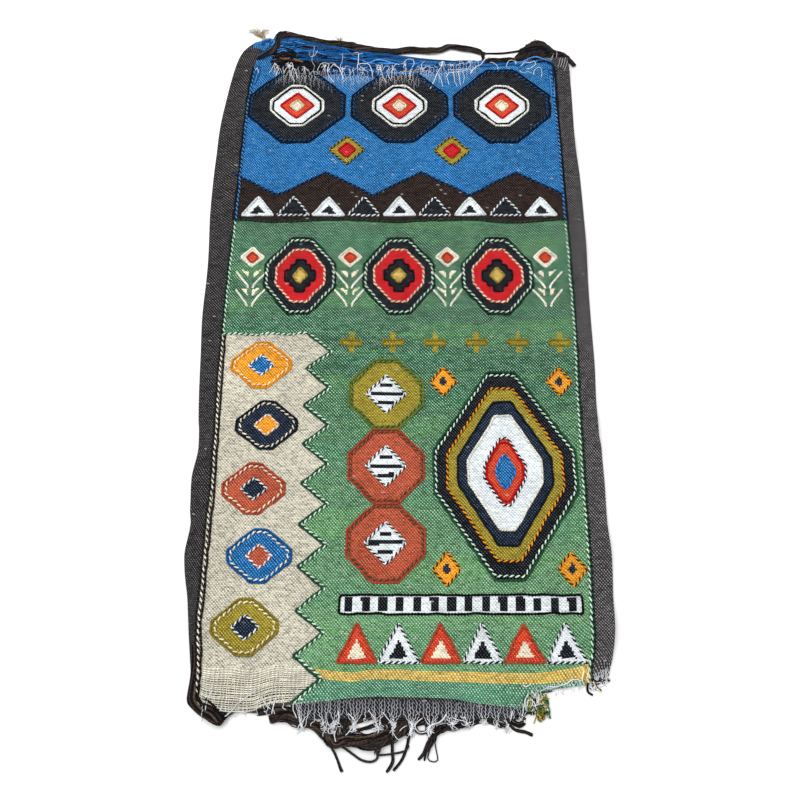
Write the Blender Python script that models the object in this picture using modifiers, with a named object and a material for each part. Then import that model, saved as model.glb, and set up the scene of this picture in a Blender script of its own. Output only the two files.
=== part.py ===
# A hand-woven wool tapestry that lies face up on a floor.
# One woven sheet, the cut warp ends at both of its ends, and the loose weft yarns that hang on there.
# Metres, +Z up. +Y runs along the length to the top of the design, and the floor is Z = 0.

import math
import random
from collections import namedtuple

import bmesh
import bpy
from mathutils import Vector

OBJECT_NAME = "tapestry"

# Driving dimensions
CLOTH_THICKNESS = 0.002
GAP = 0.0006
GRID_COLUMNS = 24
GRID_ROWS = 44
STRIP_WIDTH = 0.0025
WARP_END_HEIGHT = 0.0012
YARN_HEIGHT = 0.0025
ORIGIN_SHIFT = Vector((-0.0044, 0.0012, 0.0))

# The two side edges, read up the length
SideRow = namedtuple("SideRow", "y left right")
SIDE_EDGES = [
    SideRow(-0.575, -0.278, 0.287),
    SideRow(-0.560, -0.280, 0.288),
    SideRow(-0.527, -0.2835, 0.290),
    SideRow(-0.508, -0.2825, 0.2916),
    SideRow(-0.488, -0.2843, 0.298),
    SideRow(-0.449, -0.289, 0.304),
    SideRow(-0.408, -0.2957, 0.3066),
    SideRow(-0.366, -0.3037, 0.309),
    SideRow(-0.344, -0.3057, 0.3094),
    SideRow(-0.301, -0.2995, 0.3075),
    SideRow(-0.278, -0.303, 0.308),
    SideRow(-0.233, -0.3054, 0.309),
    SideRow(-0.187, -0.2975, 0.3085),
    SideRow(-0.163, -0.2995, 0.306),
    SideRow(-0.139, -0.303, 0.3064),
    SideRow(-0.039, -0.3085, 0.310),
    SideRow(0.066, -0.311, 0.3106),
    SideRow(0.121, -0.3105, 0.312),
    SideRow(0.235, -0.3148, 0.314),
    SideRow(0.295, -0.3145, 0.3136),
    SideRow(0.357, -0.3124, 0.3096),
    SideRow(0.421, -0.3085, 0.311),
    SideRow(0.453, -0.3055, 0.3115),
    SideRow(0.486, -0.301, 0.312),
    SideRow(0.520, -0.2924, 0.311),
    SideRow(0.546, -0.284, 0.3085),
    SideRow(0.563, -0.277, 0.3075),
    SideRow(0.581, -0.266, 0.304),
    SideRow(0.598, -0.253, 0.302),
]

# The two woven ends, read from left to right
EndRow = namedtuple("EndRow", "x y")
TOP_EDGE = [
    EndRow(-0.320, 0.570),
    EndRow(-0.266, 0.586),
    EndRow(-0.2505, 0.594),
    EndRow(-0.242, 0.598),
    EndRow(-0.233, 0.596),
    EndRow(-0.229, 0.580),
    EndRow(-0.226, 0.534),
    EndRow(-0.215, 0.524),
    EndRow(-0.194, 0.520),
    EndRow(-0.103, 0.516),
    EndRow(-0.031, 0.515),
    EndRow(0.078, 0.526),
    EndRow(0.151, 0.541),
    EndRow(0.224, 0.546),
    EndRow(0.297, 0.551),
    EndRow(0.320, 0.546),
]
BOTTOM_EDGE = [
    EndRow(-0.300, -0.541),
    EndRow(-0.281, -0.547),
    EndRow(-0.258, -0.563),
    EndRow(-0.237, -0.574),
    EndRow(-0.226, -0.562),
    EndRow(-0.215, -0.556),
    EndRow(-0.189, -0.558),
    EndRow(-0.150, -0.548),
    EndRow(-0.142, -0.547),
    EndRow(-0.134, -0.562),
    EndRow(-0.120, -0.565),
    EndRow(0.000, -0.566),
    EndRow(0.060, -0.570),
    EndRow(0.120, -0.566),
    EndRow(0.160, -0.5665),
    EndRow(0.170, -0.564),
    EndRow(0.178, -0.558),
    EndRow(0.184, -0.535),
    EndRow(0.192, -0.5315),
    EndRow(0.256, -0.5215),
    EndRow(0.285, -0.513),
    EndRow(0.300, -0.505),
]
# Corners of the two ends to which a column of the cloth runs
END_CORNERS = [
    EndRow(-0.2505, 0.594),
    EndRow(-0.242, 0.598),
    EndRow(-0.233, 0.596),
    EndRow(-0.229, 0.580),
    EndRow(-0.226, 0.534),
    EndRow(-0.237, -0.574),
    EndRow(-0.142, -0.547),
    EndRow(-0.134, -0.562),
    EndRow(0.170, -0.564),
    EndRow(0.178, -0.558),
    EndRow(0.184, -0.535),
    EndRow(0.192, -0.5315),
]
CORNER_ROOM = 0.010
PLACE_STEPS = 30

# Lifts of the cloth off the floor: curled corners, puckered borders and low swells
Ripple = namedtuple("Ripple", "x y reach_x reach_y height")
RIPPLES = [
    Ripple(-0.290, 0.550, 0.070, 0.075, 0.012),
    Ripple(-0.312, 0.400, 0.040, 0.070, 0.004),
    Ripple(-0.314, 0.030, 0.040, 0.070, 0.004),
    Ripple(-0.300, -0.187, 0.060, 0.045, 0.007),
    Ripple(-0.302, -0.301, 0.055, 0.040, 0.005),
    Ripple(-0.290, -0.455, 0.065, 0.060, 0.006),
    Ripple(-0.250, -0.560, 0.050, 0.040, 0.007),
    Ripple(0.312, 0.545, 0.070, 0.055, 0.008),
    Ripple(0.314, 0.355, 0.045, 0.060, 0.005),
    Ripple(0.314, 0.160, 0.045, 0.070, 0.004),
    Ripple(0.310, -0.155, 0.050, 0.055, 0.005),
    Ripple(0.312, -0.330, 0.045, 0.060, 0.004),
    Ripple(0.312, -0.448, 0.070, 0.050, 0.007),
    Ripple(-0.060, 0.345, 0.170, 0.050, 0.004),
    Ripple(0.120, -0.290, 0.150, 0.055, 0.003),
    Ripple(-0.150, -0.060, 0.050, 0.150, 0.003),
]

# Routes of the loose yarns, with the width and height of the hank at each station
Station = namedtuple("Station", "x y width height")
BLUE_WEFTS = [
    Station(-0.2110, 0.5750, 0.030, 0.005),
    Station(-0.2000, 0.5730, 0.042, 0.007),
    Station(-0.1740, 0.5690, 0.043, 0.009),
    Station(-0.1420, 0.5640, 0.038, 0.009),
    Station(-0.1090, 0.5590, 0.037, 0.008),
    Station(-0.0690, 0.5513, 0.0370, 0.007),
    Station(-0.0440, 0.5470, 0.033, 0.007),
    Station(0.0050, 0.5425, 0.032, 0.006),
    Station(0.0780, 0.5390, 0.017, 0.005),
    Station(0.1440, 0.5462, 0.006, 0.003),
]
SLACK_WEFTS = [
    Station(-0.2215, 0.5440, 0.0240, 0.004),
    Station(-0.2120, 0.5410, 0.0320, 0.006),
    Station(-0.2000, 0.5360, 0.0270, 0.006),
    Station(-0.1740, 0.5335, 0.0255, 0.006),
    Station(-0.1420, 0.5315, 0.0250, 0.006),
    Station(-0.1090, 0.5287, 0.0215, 0.006),
    Station(-0.0690, 0.5247, 0.0140, 0.006),
    Station(-0.0440, 0.5236, 0.0115, 0.005),
    Station(-0.0100, 0.5222, 0.0080, 0.005),
    Station(0.0050, 0.5220, 0.0060, 0.004),
]
BROWN_HANK = [
    Station(-0.2195, 0.5650, 0.007, 0.004),
    Station(-0.2205, 0.5780, 0.010, 0.006),
    Station(-0.2200, 0.6020, 0.013, 0.009),
    Station(-0.2090, 0.6100, 0.014, 0.010),
    Station(-0.1920, 0.6070, 0.015, 0.011),
    Station(-0.1675, 0.6000, 0.017, 0.011),
    Station(-0.1425, 0.5940, 0.018, 0.011),
    Station(-0.1180, 0.5900, 0.019, 0.011),
    Station(-0.0935, 0.5860, 0.018, 0.011),
    Station(-0.0690, 0.5795, 0.017, 0.010),
    Station(-0.0440, 0.5740, 0.017, 0.010),
    Station(-0.0090, 0.5705, 0.016, 0.010),
    Station(0.0270, 0.5740, 0.014, 0.009),
    Station(0.0560, 0.5725, 0.012, 0.009),
    Station(0.0790, 0.5755, 0.012, 0.009),
    Station(0.0970, 0.5840, 0.011, 0.008),
    Station(0.1225, 0.5790, 0.010, 0.007),
    Station(0.1440, 0.5725, 0.009, 0.006),
    Station(0.1560, 0.5660, 0.007, 0.004),
    Station(0.1680, 0.5665, 0.0035, 0.003),
    Station(0.1950, 0.5685, 0.003, 0.0025),
    Station(0.2240, 0.5735, 0.003, 0.0025),
]
BROWN_BLOCK = [
    Station(0.1570, 0.5490, 0.010, 0.004),
    Station(0.1680, 0.5502, 0.0142, 0.006),
    Station(0.1900, 0.5513, 0.0144, 0.006),
    Station(0.2060, 0.5535, 0.012, 0.005),
    Station(0.2140, 0.5550, 0.007, 0.004),
]
CORNER_HANK = [
    Station(0.2150, 0.5560, 0.006, 0.004),
    Station(0.2270, 0.5600, 0.017, 0.007),
    Station(0.2410, 0.5665, 0.028, 0.009),
    Station(0.2550, 0.5735, 0.041, 0.011),
    Station(0.2690, 0.5740, 0.039, 0.011),
    Station(0.2850, 0.5660, 0.022, 0.009),
    Station(0.3000, 0.5605, 0.010, 0.006),
    Station(0.3130, 0.5510, 0.006, 0.004),
    Station(0.3220, 0.5380, 0.004, 0.003),
]
BOTTOM_BUNDLE = [
    Station(-0.1720, -0.5645, 0.004, 0.003),
    Station(-0.1620, -0.5620, 0.012, 0.006),
    Station(-0.1500, -0.5600, 0.018, 0.007),
    Station(-0.1370, -0.5662, 0.010, 0.007),
    Station(-0.1220, -0.5705, 0.009, 0.007),
    Station(-0.1060, -0.5760, 0.011, 0.008),
    Station(-0.0950, -0.5870, 0.013, 0.008),
    Station(-0.0840, -0.5965, 0.014, 0.009),
    Station(-0.0600, -0.5990, 0.015, 0.009),
    Station(-0.0350, -0.5985, 0.016, 0.009),
    Station(-0.0120, -0.5920, 0.014, 0.008),
    Station(0.0040, -0.5830, 0.012, 0.007),
    Station(0.0150, -0.5770, 0.010, 0.006),
    Station(0.0280, -0.5780, 0.006, 0.004),
]
RIGHT_BUNDLE = [
    Station(0.1000, -0.5710, 0.005, 0.003),
    Station(0.0900, -0.5725, 0.009, 0.005),
    Station(0.0720, -0.5752, 0.010, 0.006),
    Station(0.0560, -0.5790, 0.010, 0.006),
    Station(0.0490, -0.5870, 0.010, 0.006),
    Station(0.0440, -0.5960, 0.008, 0.005),
    Station(0.0385, -0.6060, 0.005, 0.0035),
    Station(0.0290, -0.6160, 0.003, 0.0025),
]
TORN_CORNER_RAG = [
    Station(0.2005, -0.5322, 0.008, 0.003),
    Station(0.1985, -0.5420, 0.013, 0.004),
    Station(0.1965, -0.5520, 0.015, 0.005),
    Station(0.1960, -0.5610, 0.011, 0.004),
    Station(0.1990, -0.5665, 0.005, 0.003),
]
BUNDLE_STRANDS = {
    "end_1": [(-0.092, -0.594), (-0.083, -0.606), (-0.077, -0.621), (-0.0735, -0.632)],
    "loop_1": [(-0.074, -0.598), (-0.059, -0.608), (-0.0455, -0.616), (-0.033, -0.6185),
               (-0.0245, -0.6135), (-0.027, -0.601)],
    "end_2": [(-0.005, -0.590), (-0.004, -0.606), (-0.0045, -0.619), (-0.015, -0.632)],
    "end_3": [(0.017, -0.579), (0.014, -0.598), (0.007, -0.615), (-0.005, -0.6285)],
    "link": [(-0.024, -0.610), (-0.010, -0.6095), (0.011, -0.605)],
}
RIGHT_STRANDS = {
    "loop_2": [(0.0480, -0.588), (0.0450, -0.602), (0.0425, -0.6145), (0.0480, -0.6185),
               (0.0550, -0.6165), (0.0535, -0.603), (0.0505, -0.586)],
}
YARN_WIDTH = 0.0028
STRAND_LIFT = 0.0002
LOBE_DEPTH = 0.08
LOBE_TWIST = 0.9
ROUND_SIDES = 8
STRAND_SIDES = 4
STATION_STEPS = 3
STRAND_STEPS = 2

# Stretches of cut warp ends, with the spacing, the length range and the sideways lean of the locks
Fringe = namedtuple("Fringe", "edge x_from x_to spacing short long lean seed")
FRINGES = {
    "top_warp_ends": Fringe("top", -0.220, 0.150, 0.0066, 0.008, 0.018, 0.30, 11),
    "lower_left_warp_ends": Fringe("bottom", -0.212, -0.178, 0.0055, 0.003, 0.006, 0.20, 12),
    "bottom_warp_ends": Fringe("bottom", -0.088, 0.050, 0.0050, 0.008, 0.015, 0.25, 13),
    "bottom_right_warp_ends": Fringe("bottom", 0.104, 0.164, 0.0050, 0.005, 0.010, 0.30, 16),
    "torn_step_ends": Fringe("bottom", 0.208, 0.253, 0.0053, 0.003, 0.007, 0.35, 14),
    "border_ends": Fringe("bottom", 0.262, 0.286, 0.0047, 0.008, 0.015, 0.45, 15),
}
# Stretches of an end where a hank lies against the strip and no lock is drawn out
BARE_STRETCHES = [(-0.020, 0.052)]
# A lock is drawn out in two steps: the sideways share of its lean and the share of its length
LOCK_STEPS = [(0.3, 0.5), (0.5, 0.5)]
LOCK_TAPER = 0.8
TAIL_STEPS = [(0.003, -0.007), (0.010, -0.006), (0.010, -0.002), (0.010, -0.002)]
TAIL_X = 0.150

# The fan of tan fibres at the top left corner: direction in degrees from +X, and length
Fibre = namedtuple("Fibre", "direction length")
TUFT_CENTRE = Vector((-0.2490, 0.6014, 0.0))
TUFT_RADIUS = 0.0055
TUFT_HEIGHT = 0.003
TUFT_SIDES = 16
FIBRE_SHARES = (0.5, 0.5)
FIBRE_TAPER = 0.7
FIBRE_THINNING = 0.75
TUFT_FIBRES = [
    Fibre(56.25, 0.010),
    Fibre(78.75, 0.016),
    Fibre(101.25, 0.024),
    Fibre(123.75, 0.022),
    Fibre(146.25, 0.022),
    Fibre(168.75, 0.030),
]

WOOL_ROUGHNESS = 0.9
GREEN = (0.05, 0.17, 0.08)
BLUE = (0.02, 0.15, 0.45)
BROWN = (0.025, 0.015, 0.012)
BLACK = (0.012, 0.012, 0.016)
CHARCOAL = (0.045, 0.040, 0.038)
CREAM = (0.75, 0.68, 0.55)
TAN = (0.45, 0.32, 0.18)
GOLD = (0.45, 0.36, 0.08)


def clear_scene():
    for thing in list(bpy.data.objects):
        bpy.data.objects.remove(thing, do_unlink=True)
    for group in list(bpy.data.collections):
        bpy.data.collections.remove(group)


def wool(name, colour):
    material = bpy.data.materials.new(name)
    material.use_nodes = True
    shader = material.node_tree.nodes["Principled BSDF"]
    shader.inputs["Base Color"].default_value = (*colour, 1.0)
    shader.inputs["Roughness"].default_value = WOOL_ROUGHNESS
    shader.inputs["Metallic"].default_value = 0.0
    material.diffuse_color = (*colour, 1.0)
    return material


def add_object(name, bm, material, collection):
    mesh = bpy.data.meshes.new(name)
    bm.to_mesh(mesh)
    bm.free()
    mesh.materials.append(material)
    thing = bpy.data.objects.new(name, mesh)
    thing.location = ORIGIN_SHIFT
    collection.objects.link(thing)
    return thing


# A smooth reading of one column of a table, without overshoot between its rows
def read(rows, key, column, at):
    keys = [getattr(row, key) for row in rows]
    values = [getattr(row, column) for row in rows]
    at = min(max(at, keys[0]), keys[-1])
    slopes = [(values[i + 1] - values[i]) / (keys[i + 1] - keys[i]) for i in range(len(keys) - 1)]
    tangents = [slopes[0]]
    for before, after in zip(slopes, slopes[1:]):
        mixed = 0.0 if before * after <= 0 else 2 * before * after / (before + after)
        tangents.append(mixed)
    tangents.append(slopes[-1])
    i = max(k for k in range(len(slopes)) if keys[k] <= at)
    span = keys[i + 1] - keys[i]
    f = (at - keys[i]) / span
    start_value = (2 * f ** 3 - 3 * f ** 2 + 1) * values[i]
    start_slope = (f ** 3 - 2 * f ** 2 + f) * span * tangents[i]
    end_value = (3 * f ** 2 - 2 * f ** 3) * values[i + 1]
    end_slope = (f ** 3 - f ** 2) * span * tangents[i + 1]
    return start_value + start_slope + end_value + end_slope


def lift(x, y):
    height = 0.0
    for ripple in RIPPLES:
        away = math.hypot((x - ripple.x) / ripple.reach_x, (y - ripple.y) / ripple.reach_y)
        if away < 1.0:
            height += ripple.height * (0.5 + 0.5 * math.cos(math.pi * away))
    return height


# The place on the cloth at a share of its width and a share of its length
def cloth_place(across, along):
    low, high = BOTTOM_EDGE[0].x - 0.03, TOP_EDGE[-1].x + 0.01
    for _ in range(PLACE_STEPS):
        x = (low + high) / 2
        y = (1 - along) * read(BOTTOM_EDGE, "x", "y", x) + along * read(TOP_EDGE, "x", "y", x)
        left = read(SIDE_EDGES, "y", "left", y)
        right = read(SIDE_EDGES, "y", "right", y)
        if left + across * (right - left) > x:
            low = x
        else:
            high = x
    return x, y


# Shares of the width at which the columns of the cloth stand
def column_shares():
    corners = []
    for corner in END_CORNERS:
        left = read(SIDE_EDGES, "y", "left", corner.y)
        right = read(SIDE_EDGES, "y", "right", corner.y)
        corners.append((corner.x - left) / (right - left))
    even = [i / GRID_COLUMNS for i in range(GRID_COLUMNS + 1)]
    kept = [share for share in even[1:-1] if min(abs(share - c) for c in corners) > CORNER_ROOM]
    return [0.0] + sorted(kept + corners) + [1.0]


# The straight runs of a woven end between the columns of the cloth
def woven_end(edge):
    along = 1.0 if edge == "top" else 0.0
    return [EndRow(*cloth_place(share, along)) for share in column_shares()]


def edge_y(corners, x):
    i = max(k for k in range(len(corners) - 1) if corners[k].x <= x)
    f = (x - corners[i].x) / (corners[i + 1].x - corners[i].x)
    return corners[i].y + f * (corners[i + 1].y - corners[i].y)


def build_cloth(material, collection):
    bm = bmesh.new()
    shares = column_shares()
    columns = len(shares) - 1
    bmesh.ops.create_grid(bm, x_segments=columns, y_segments=GRID_ROWS, size=0.5)
    for vert in bm.verts:
        across = shares[round((vert.co.x + 0.5) * columns)]
        x, y = cloth_place(across, vert.co.y + 0.5)
        vert.co = (x, y, lift(x, y))
    cloth = add_object("woven_cloth", bm, material, collection)
    solidify = cloth.modifiers.new("thickness", "SOLIDIFY")
    solidify.thickness = CLOTH_THICKNESS
    solidify.offset = 1.0
    return cloth


# Sections along a route: the centre, the direction across it, the width and the height
def sections(stations, steps):
    found = []
    last = len(stations) - 1
    for i in range(last * steps + 1):
        k = min(i // steps, last - 1)
        f = i / steps - k
        a, b = stations[k], stations[k + 1]
        before = stations[max(k - 1, 0)]
        after = stations[min(k + 2, last)]
        row = [0.5 * (2 * q + (r - p) * f + (2 * p - 5 * q + 4 * r - s) * f * f
                      + (3 * q - p - 3 * r + s) * f ** 3)
               for p, q, r, s in zip(before, a, b, after)]
        found.append(row)
    result = []
    for i, (x, y, width, height) in enumerate(found):
        ahead = found[min(i + 1, len(found) - 1)]
        behind = found[max(i - 1, 0)]
        way = Vector((ahead[0] - behind[0], ahead[1] - behind[1], 0.0)).normalized()
        across = Vector((way.y, -way.x, 0.0))
        result.append((Vector((x, y, 0.0)), across, width, height))
    return result


# One section: level underneath, so that the yarn rests flat, and lobed above
def section_points(place, across, width, height, sides, floor, lobes, turn):
    points = []
    low = max(abs(math.sin(2 * math.pi * (k + 0.5) / sides)) for k in range(sides))
    for k in range(sides):
        angle = 2 * math.pi * (k + 0.5) / sides
        swell = 1.0
        if math.sin(angle) > -0.5:
            swell += lobes * math.cos(2 * angle + turn)
        side = math.cos(angle) * swell * width / 2
        up = (math.sin(angle) * swell / low + 1) * height / 2
        points.append(place + across * side + Vector((0.0, 0.0, floor + up)))
    return points


def sweep(bm, route, sides, floor, lobes, twist):
    ring = bmesh.ops.create_circle(bm, segments=sides, radius=1.0, cap_ends=True)
    face = ring["verts"][0].link_faces[0]
    for i, (place, across, width, height) in enumerate(route):
        if i:
            face = bmesh.ops.extrude_discrete_faces(bm, faces=[face])["faces"][0]
        points = section_points(place, across, width, height, sides, floor, lobes, twist * i)
        for vert, point in zip(face.verts, points):
            vert.co = point
    open_edges = [edge for edge in bm.edges if edge.is_boundary]
    bmesh.ops.holes_fill(bm, edges=open_edges, sides=sides)
    bmesh.ops.recalc_face_normals(bm, faces=bm.faces)


def build_hank(name, stations, floor, material, collection):
    bm = bmesh.new()
    sweep(bm, sections(stations, STATION_STEPS), ROUND_SIDES, floor, LOBE_DEPTH, LOBE_TWIST)
    return add_object(name, bm, material, collection)


# A hank with its loops and free ends, each a little higher than the last so that they cross cleanly
def build_bundle(name, stations, strands, material, collection, cutters):
    bundle = build_hank(name, stations, 0.0, material, collection)
    for count, (name, points) in enumerate(strands.items()):
        stations = [Station(x, y, YARN_WIDTH, YARN_HEIGHT) for x, y in points]
        bm = bmesh.new()
        sweep(bm, sections(stations, STRAND_STEPS), STRAND_SIDES, STRAND_LIFT * (count + 1), 0.0, 0.0)
        strand = add_object("joined_" + name, bm, material, cutters)
        strand.hide_render = True
        strand.display_type = "WIRE"
        join = bundle.modifiers.new(name, "BOOLEAN")
        join.operation = "UNION"
        join.solver = "EXACT"
        join.object = strand
    return bundle


# Cut warp ends: a narrow strip along the edge of the weave, with every second cell drawn out as a lock
def build_fringe(name, fringe, material, collection):
    corners = woven_end(fringe.edge)
    outward = 1.0 if fringe.edge == "top" else -1.0
    cells = 2 * round((fringe.x_to - fringe.x_from) / fringe.spacing) - 1
    chance = random.Random(fringe.seed)
    bm = bmesh.new()
    bmesh.ops.create_grid(bm, x_segments=cells, y_segments=1, size=0.5)
    for vert in bm.verts:
        x = fringe.x_from + (vert.co.x + 0.5) * (fringe.x_to - fringe.x_from)
        step = GAP + (vert.co.y + 0.5) * STRIP_WIDTH
        vert.co = (x, edge_y(corners, x) + outward * step, 0.0)
    flat = bmesh.ops.extrude_face_region(bm, geom=bm.faces[:])["geom"]
    for vert in (item for item in flat if isinstance(item, bmesh.types.BMVert)):
        vert.co.z = WARP_END_HEIGHT
    bmesh.ops.recalc_face_normals(bm, faces=bm.faces)
    sides = [face for face in bm.faces if face.normal.y * outward > 0.5]
    sides.sort(key=lambda face: face.calc_center_median().x)
    for face in sides[::2]:
        x = face.calc_center_median().x
        if fringe.edge == "bottom" and any(low < x < high for low, high in BARE_STRETCHES):
            continue
        draw_lock(bm, face, fringe, outward, chance)
    return add_object(name, bm, material, collection)


def draw_lock(bm, face, fringe, outward, chance):
    length = chance.uniform(fringe.short, fringe.long)
    lean = chance.uniform(-fringe.lean, fringe.lean)
    steps = [(lean * length * side, outward * length * share) for side, share in LOCK_STEPS]
    centre = face.calc_center_median()
    if fringe.edge == "bottom" and abs(centre.x - TAIL_X) < fringe.spacing / 2:
        steps = TAIL_STEPS
    for along, away in steps:
        face = bmesh.ops.extrude_discrete_faces(bm, faces=[face])["faces"][0]
        bmesh.ops.translate(bm, verts=face.verts, vec=(along, away, 0.0))
        if steps is not TAIL_STEPS:
            middle = face.calc_center_median()
            for vert in face.verts:
                vert.co.x = middle.x + (vert.co.x - middle.x) * LOCK_TAPER
                vert.co.y = middle.y


def build_tuft(material, collection):
    bm = bmesh.new()
    bmesh.ops.create_cone(bm, cap_ends=True, segments=TUFT_SIDES, radius1=TUFT_RADIUS,
                          radius2=TUFT_RADIUS, depth=TUFT_HEIGHT)
    bmesh.ops.translate(bm, verts=bm.verts, vec=TUFT_CENTRE + Vector((0.0, 0.0, TUFT_HEIGHT / 2)))
    bm.normal_update()
    roots = []
    for fibre in TUFT_FIBRES:
        angle = math.radians(fibre.direction)
        way = Vector((math.cos(angle), math.sin(angle), 0.0))
        roots.append((max(bm.faces, key=lambda face: face.normal.dot(way)), way * fibre.length))
    for face, reach in roots:
        for share in FIBRE_SHARES:
            face = bmesh.ops.extrude_discrete_faces(bm, faces=[face])["faces"][0]
            bmesh.ops.translate(bm, verts=face.verts, vec=reach * share)
            middle = face.calc_center_median()
            for vert in face.verts:
                vert.co = middle + (vert.co - middle) * FIBRE_TAPER
                vert.co.z *= FIBRE_THINNING
    return add_object("corner_tuft", bm, material, collection)


def main():
    clear_scene()
    collection = bpy.data.collections.new(OBJECT_NAME)
    cutters = bpy.data.collections.new(OBJECT_NAME + "_joined")
    bpy.context.scene.collection.children.link(collection)
    bpy.context.scene.collection.children.link(cutters)

    warp_colour = wool("wool_warp_cream", CREAM)
    build_cloth(wool("wool_weave_green", GREEN), collection)
    for name, fringe in FRINGES.items():
        build_fringe(name, fringe, warp_colour, collection)
    above_ends = WARP_END_HEIGHT + GAP
    build_hank("top_blue_wefts", BLUE_WEFTS, above_ends, wool("wool_yarn_blue", BLUE), collection)
    build_hank("top_slack_wefts", SLACK_WEFTS, above_ends, wool("wool_yarn_black", BLACK), collection)
    brown = wool("wool_yarn_brown", BROWN)
    build_hank("top_brown_hank", BROWN_HANK, 0.0, brown, collection)
    build_hank("top_brown_block", BROWN_BLOCK, 0.0, brown, collection)
    build_hank("right_corner_hank", CORNER_HANK, 0.0, brown, collection)
    charcoal = wool("wool_yarn_charcoal", CHARCOAL)
    build_bundle("bottom_yarn_bundle", BOTTOM_BUNDLE, BUNDLE_STRANDS, charcoal, collection, cutters)
    build_bundle("bottom_right_bundle", RIGHT_BUNDLE, RIGHT_STRANDS, charcoal, collection, cutters)
    build_hank("torn_corner_rag", TORN_CORNER_RAG, 0.0, wool("wool_yarn_gold", GOLD), collection)
    build_tuft(wool("wool_fibre_tan", TAN), collection)


main()
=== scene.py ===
# Looks of a hand-woven wool tapestry that lies face up on a pale floor. Metres, +Y to the top of the design.
import math

import bpy
import numpy as np
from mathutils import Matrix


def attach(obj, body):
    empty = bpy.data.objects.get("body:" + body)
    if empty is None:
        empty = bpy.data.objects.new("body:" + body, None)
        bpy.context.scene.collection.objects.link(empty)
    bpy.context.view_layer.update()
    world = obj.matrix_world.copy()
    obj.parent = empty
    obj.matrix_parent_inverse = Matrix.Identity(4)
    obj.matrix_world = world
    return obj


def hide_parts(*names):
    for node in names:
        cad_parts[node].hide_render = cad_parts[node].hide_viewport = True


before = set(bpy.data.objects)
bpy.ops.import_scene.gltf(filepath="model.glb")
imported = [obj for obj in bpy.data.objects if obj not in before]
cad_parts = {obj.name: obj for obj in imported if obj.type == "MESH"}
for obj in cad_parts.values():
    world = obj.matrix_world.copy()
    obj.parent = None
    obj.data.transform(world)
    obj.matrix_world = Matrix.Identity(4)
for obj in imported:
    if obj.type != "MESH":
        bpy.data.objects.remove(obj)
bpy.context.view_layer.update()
print("stage: frame loaded")


def metres(table):
    # tables of places are in millimetres
    return np.array(table, dtype=float) / 1000


# Every table below is written as the cloth was measured, and this shift takes it to the frame's origin.
frameShift = np.array([-0.0044, 0.0012, 0.0])

clothShape = {
    "coarseColumns": 56,
    "coarseRows": 102,
    "cuts": 3,               # finer cells on the face only: half a weft float wide and one pass of weft high
    "borderColumns": 12,     # fine columns in each charcoal border
    "thickness": 0.002,
    "swell": 0.0005,
    "pebble": 0.00014,       # how far each float of weft stands up
    "weld": 0.00008,         # points nearer than this become one
    "flatWidth": 0.62,
    "flatLength": 1.10,
}
columnCount = clothShape["coarseColumns"] * (clothShape["cuts"] + 1)
rowCount = clothShape["coarseRows"] * (clothShape["cuts"] + 1)
borderShare = clothShape["borderColumns"] / columnCount
# the first row of weft above each stripe at the foot, and of the brown band
charcoalTop, greenTop, yellowTop, brownFoot = 13, 22, 26, 273

# y, left edge, right edge
sideEdges = metres([
    (-575, -278, 287), (-560, -280, 288), (-527, -283.5, 290), (-508, -282.5, 291.6), (-488, -284.3, 298),
    (-449, -289, 304), (-408, -295.7, 306.6), (-366, -303.7, 309), (-344, -305.7, 309.4),
    (-301, -299.5, 307.5), (-278, -303, 308), (-233, -305.4, 309), (-187, -297.5, 308.5),
    (-163, -299.5, 306), (-139, -303, 306.4), (-39, -308.5, 310), (66, -311, 310.6), (121, -310.5, 312),
    (235, -314.8, 314), (295, -314.5, 313.6), (357, -312.4, 309.6), (421, -308.5, 311),
    (453, -305.5, 311.5), (486, -301, 312), (520, -292.4, 311), (546, -284, 308.5), (563, -277, 307.5),
    (581, -266, 304), (598, -253, 302),
])
# x, y along the two woven ends
topEdge = metres([
    (-320, 570), (-266, 586), (-250.5, 594), (-242, 598), (-233, 596), (-229, 580), (-226, 534),
    (-215, 524), (-194, 520), (-103, 516), (-31, 515), (78, 526), (151, 541), (224, 546), (297, 551),
    (320, 546),
])
bottomEdge = metres([
    (-300, -541), (-281, -547), (-258, -563), (-237, -574), (-226, -562), (-215, -556), (-189, -558),
    (-150, -548), (-142, -547), (-134, -562), (-120, -565), (0, -566), (60, -570), (120, -566),
    (160, -566.5), (170, -564), (178, -558), (184, -535), (192, -531.5), (256, -521.5), (285, -513),
    (300, -505),
])
# x, y, reach across, reach along, height: curled corners, puckered borders and low swells
ripples = metres([
    (-290, 550, 70, 75, 12), (-312, 400, 40, 70, 4), (-314, 30, 40, 70, 4), (-300, -187, 60, 45, 7),
    (-302, -301, 55, 40, 5), (-290, -455, 65, 60, 6), (-250, -560, 50, 40, 7), (312, 545, 70, 55, 8),
    (314, 355, 45, 60, 5), (314, 160, 45, 70, 4), (310, -155, 50, 55, 5), (312, -330, 45, 60, 4),
    (312, -448, 70, 50, 7), (-60, 345, 170, 50, 4), (120, -290, 150, 55, 3), (-150, -60, 50, 150, 3),
])
# y, x: where the charcoal borders meet the fields
leftBorder = metres([
    (-575, -268), (-539, -274), (-491, -275), (-435, -279), (-358, -278), (-209, -276), (-99, -278),
    (3, -278), (225, -273), (463, -267), (540, -256), (575, -246), (598, -242),
])
rightBorder = metres([
    (-575, 262), (-499, 268), (-482, 273), (-448, 275), (-368, 278), (-208, 280), (-77, 282), (6, 285),
    (232, 285), (405, 284), (505, 281), (598, 277),
])
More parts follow.
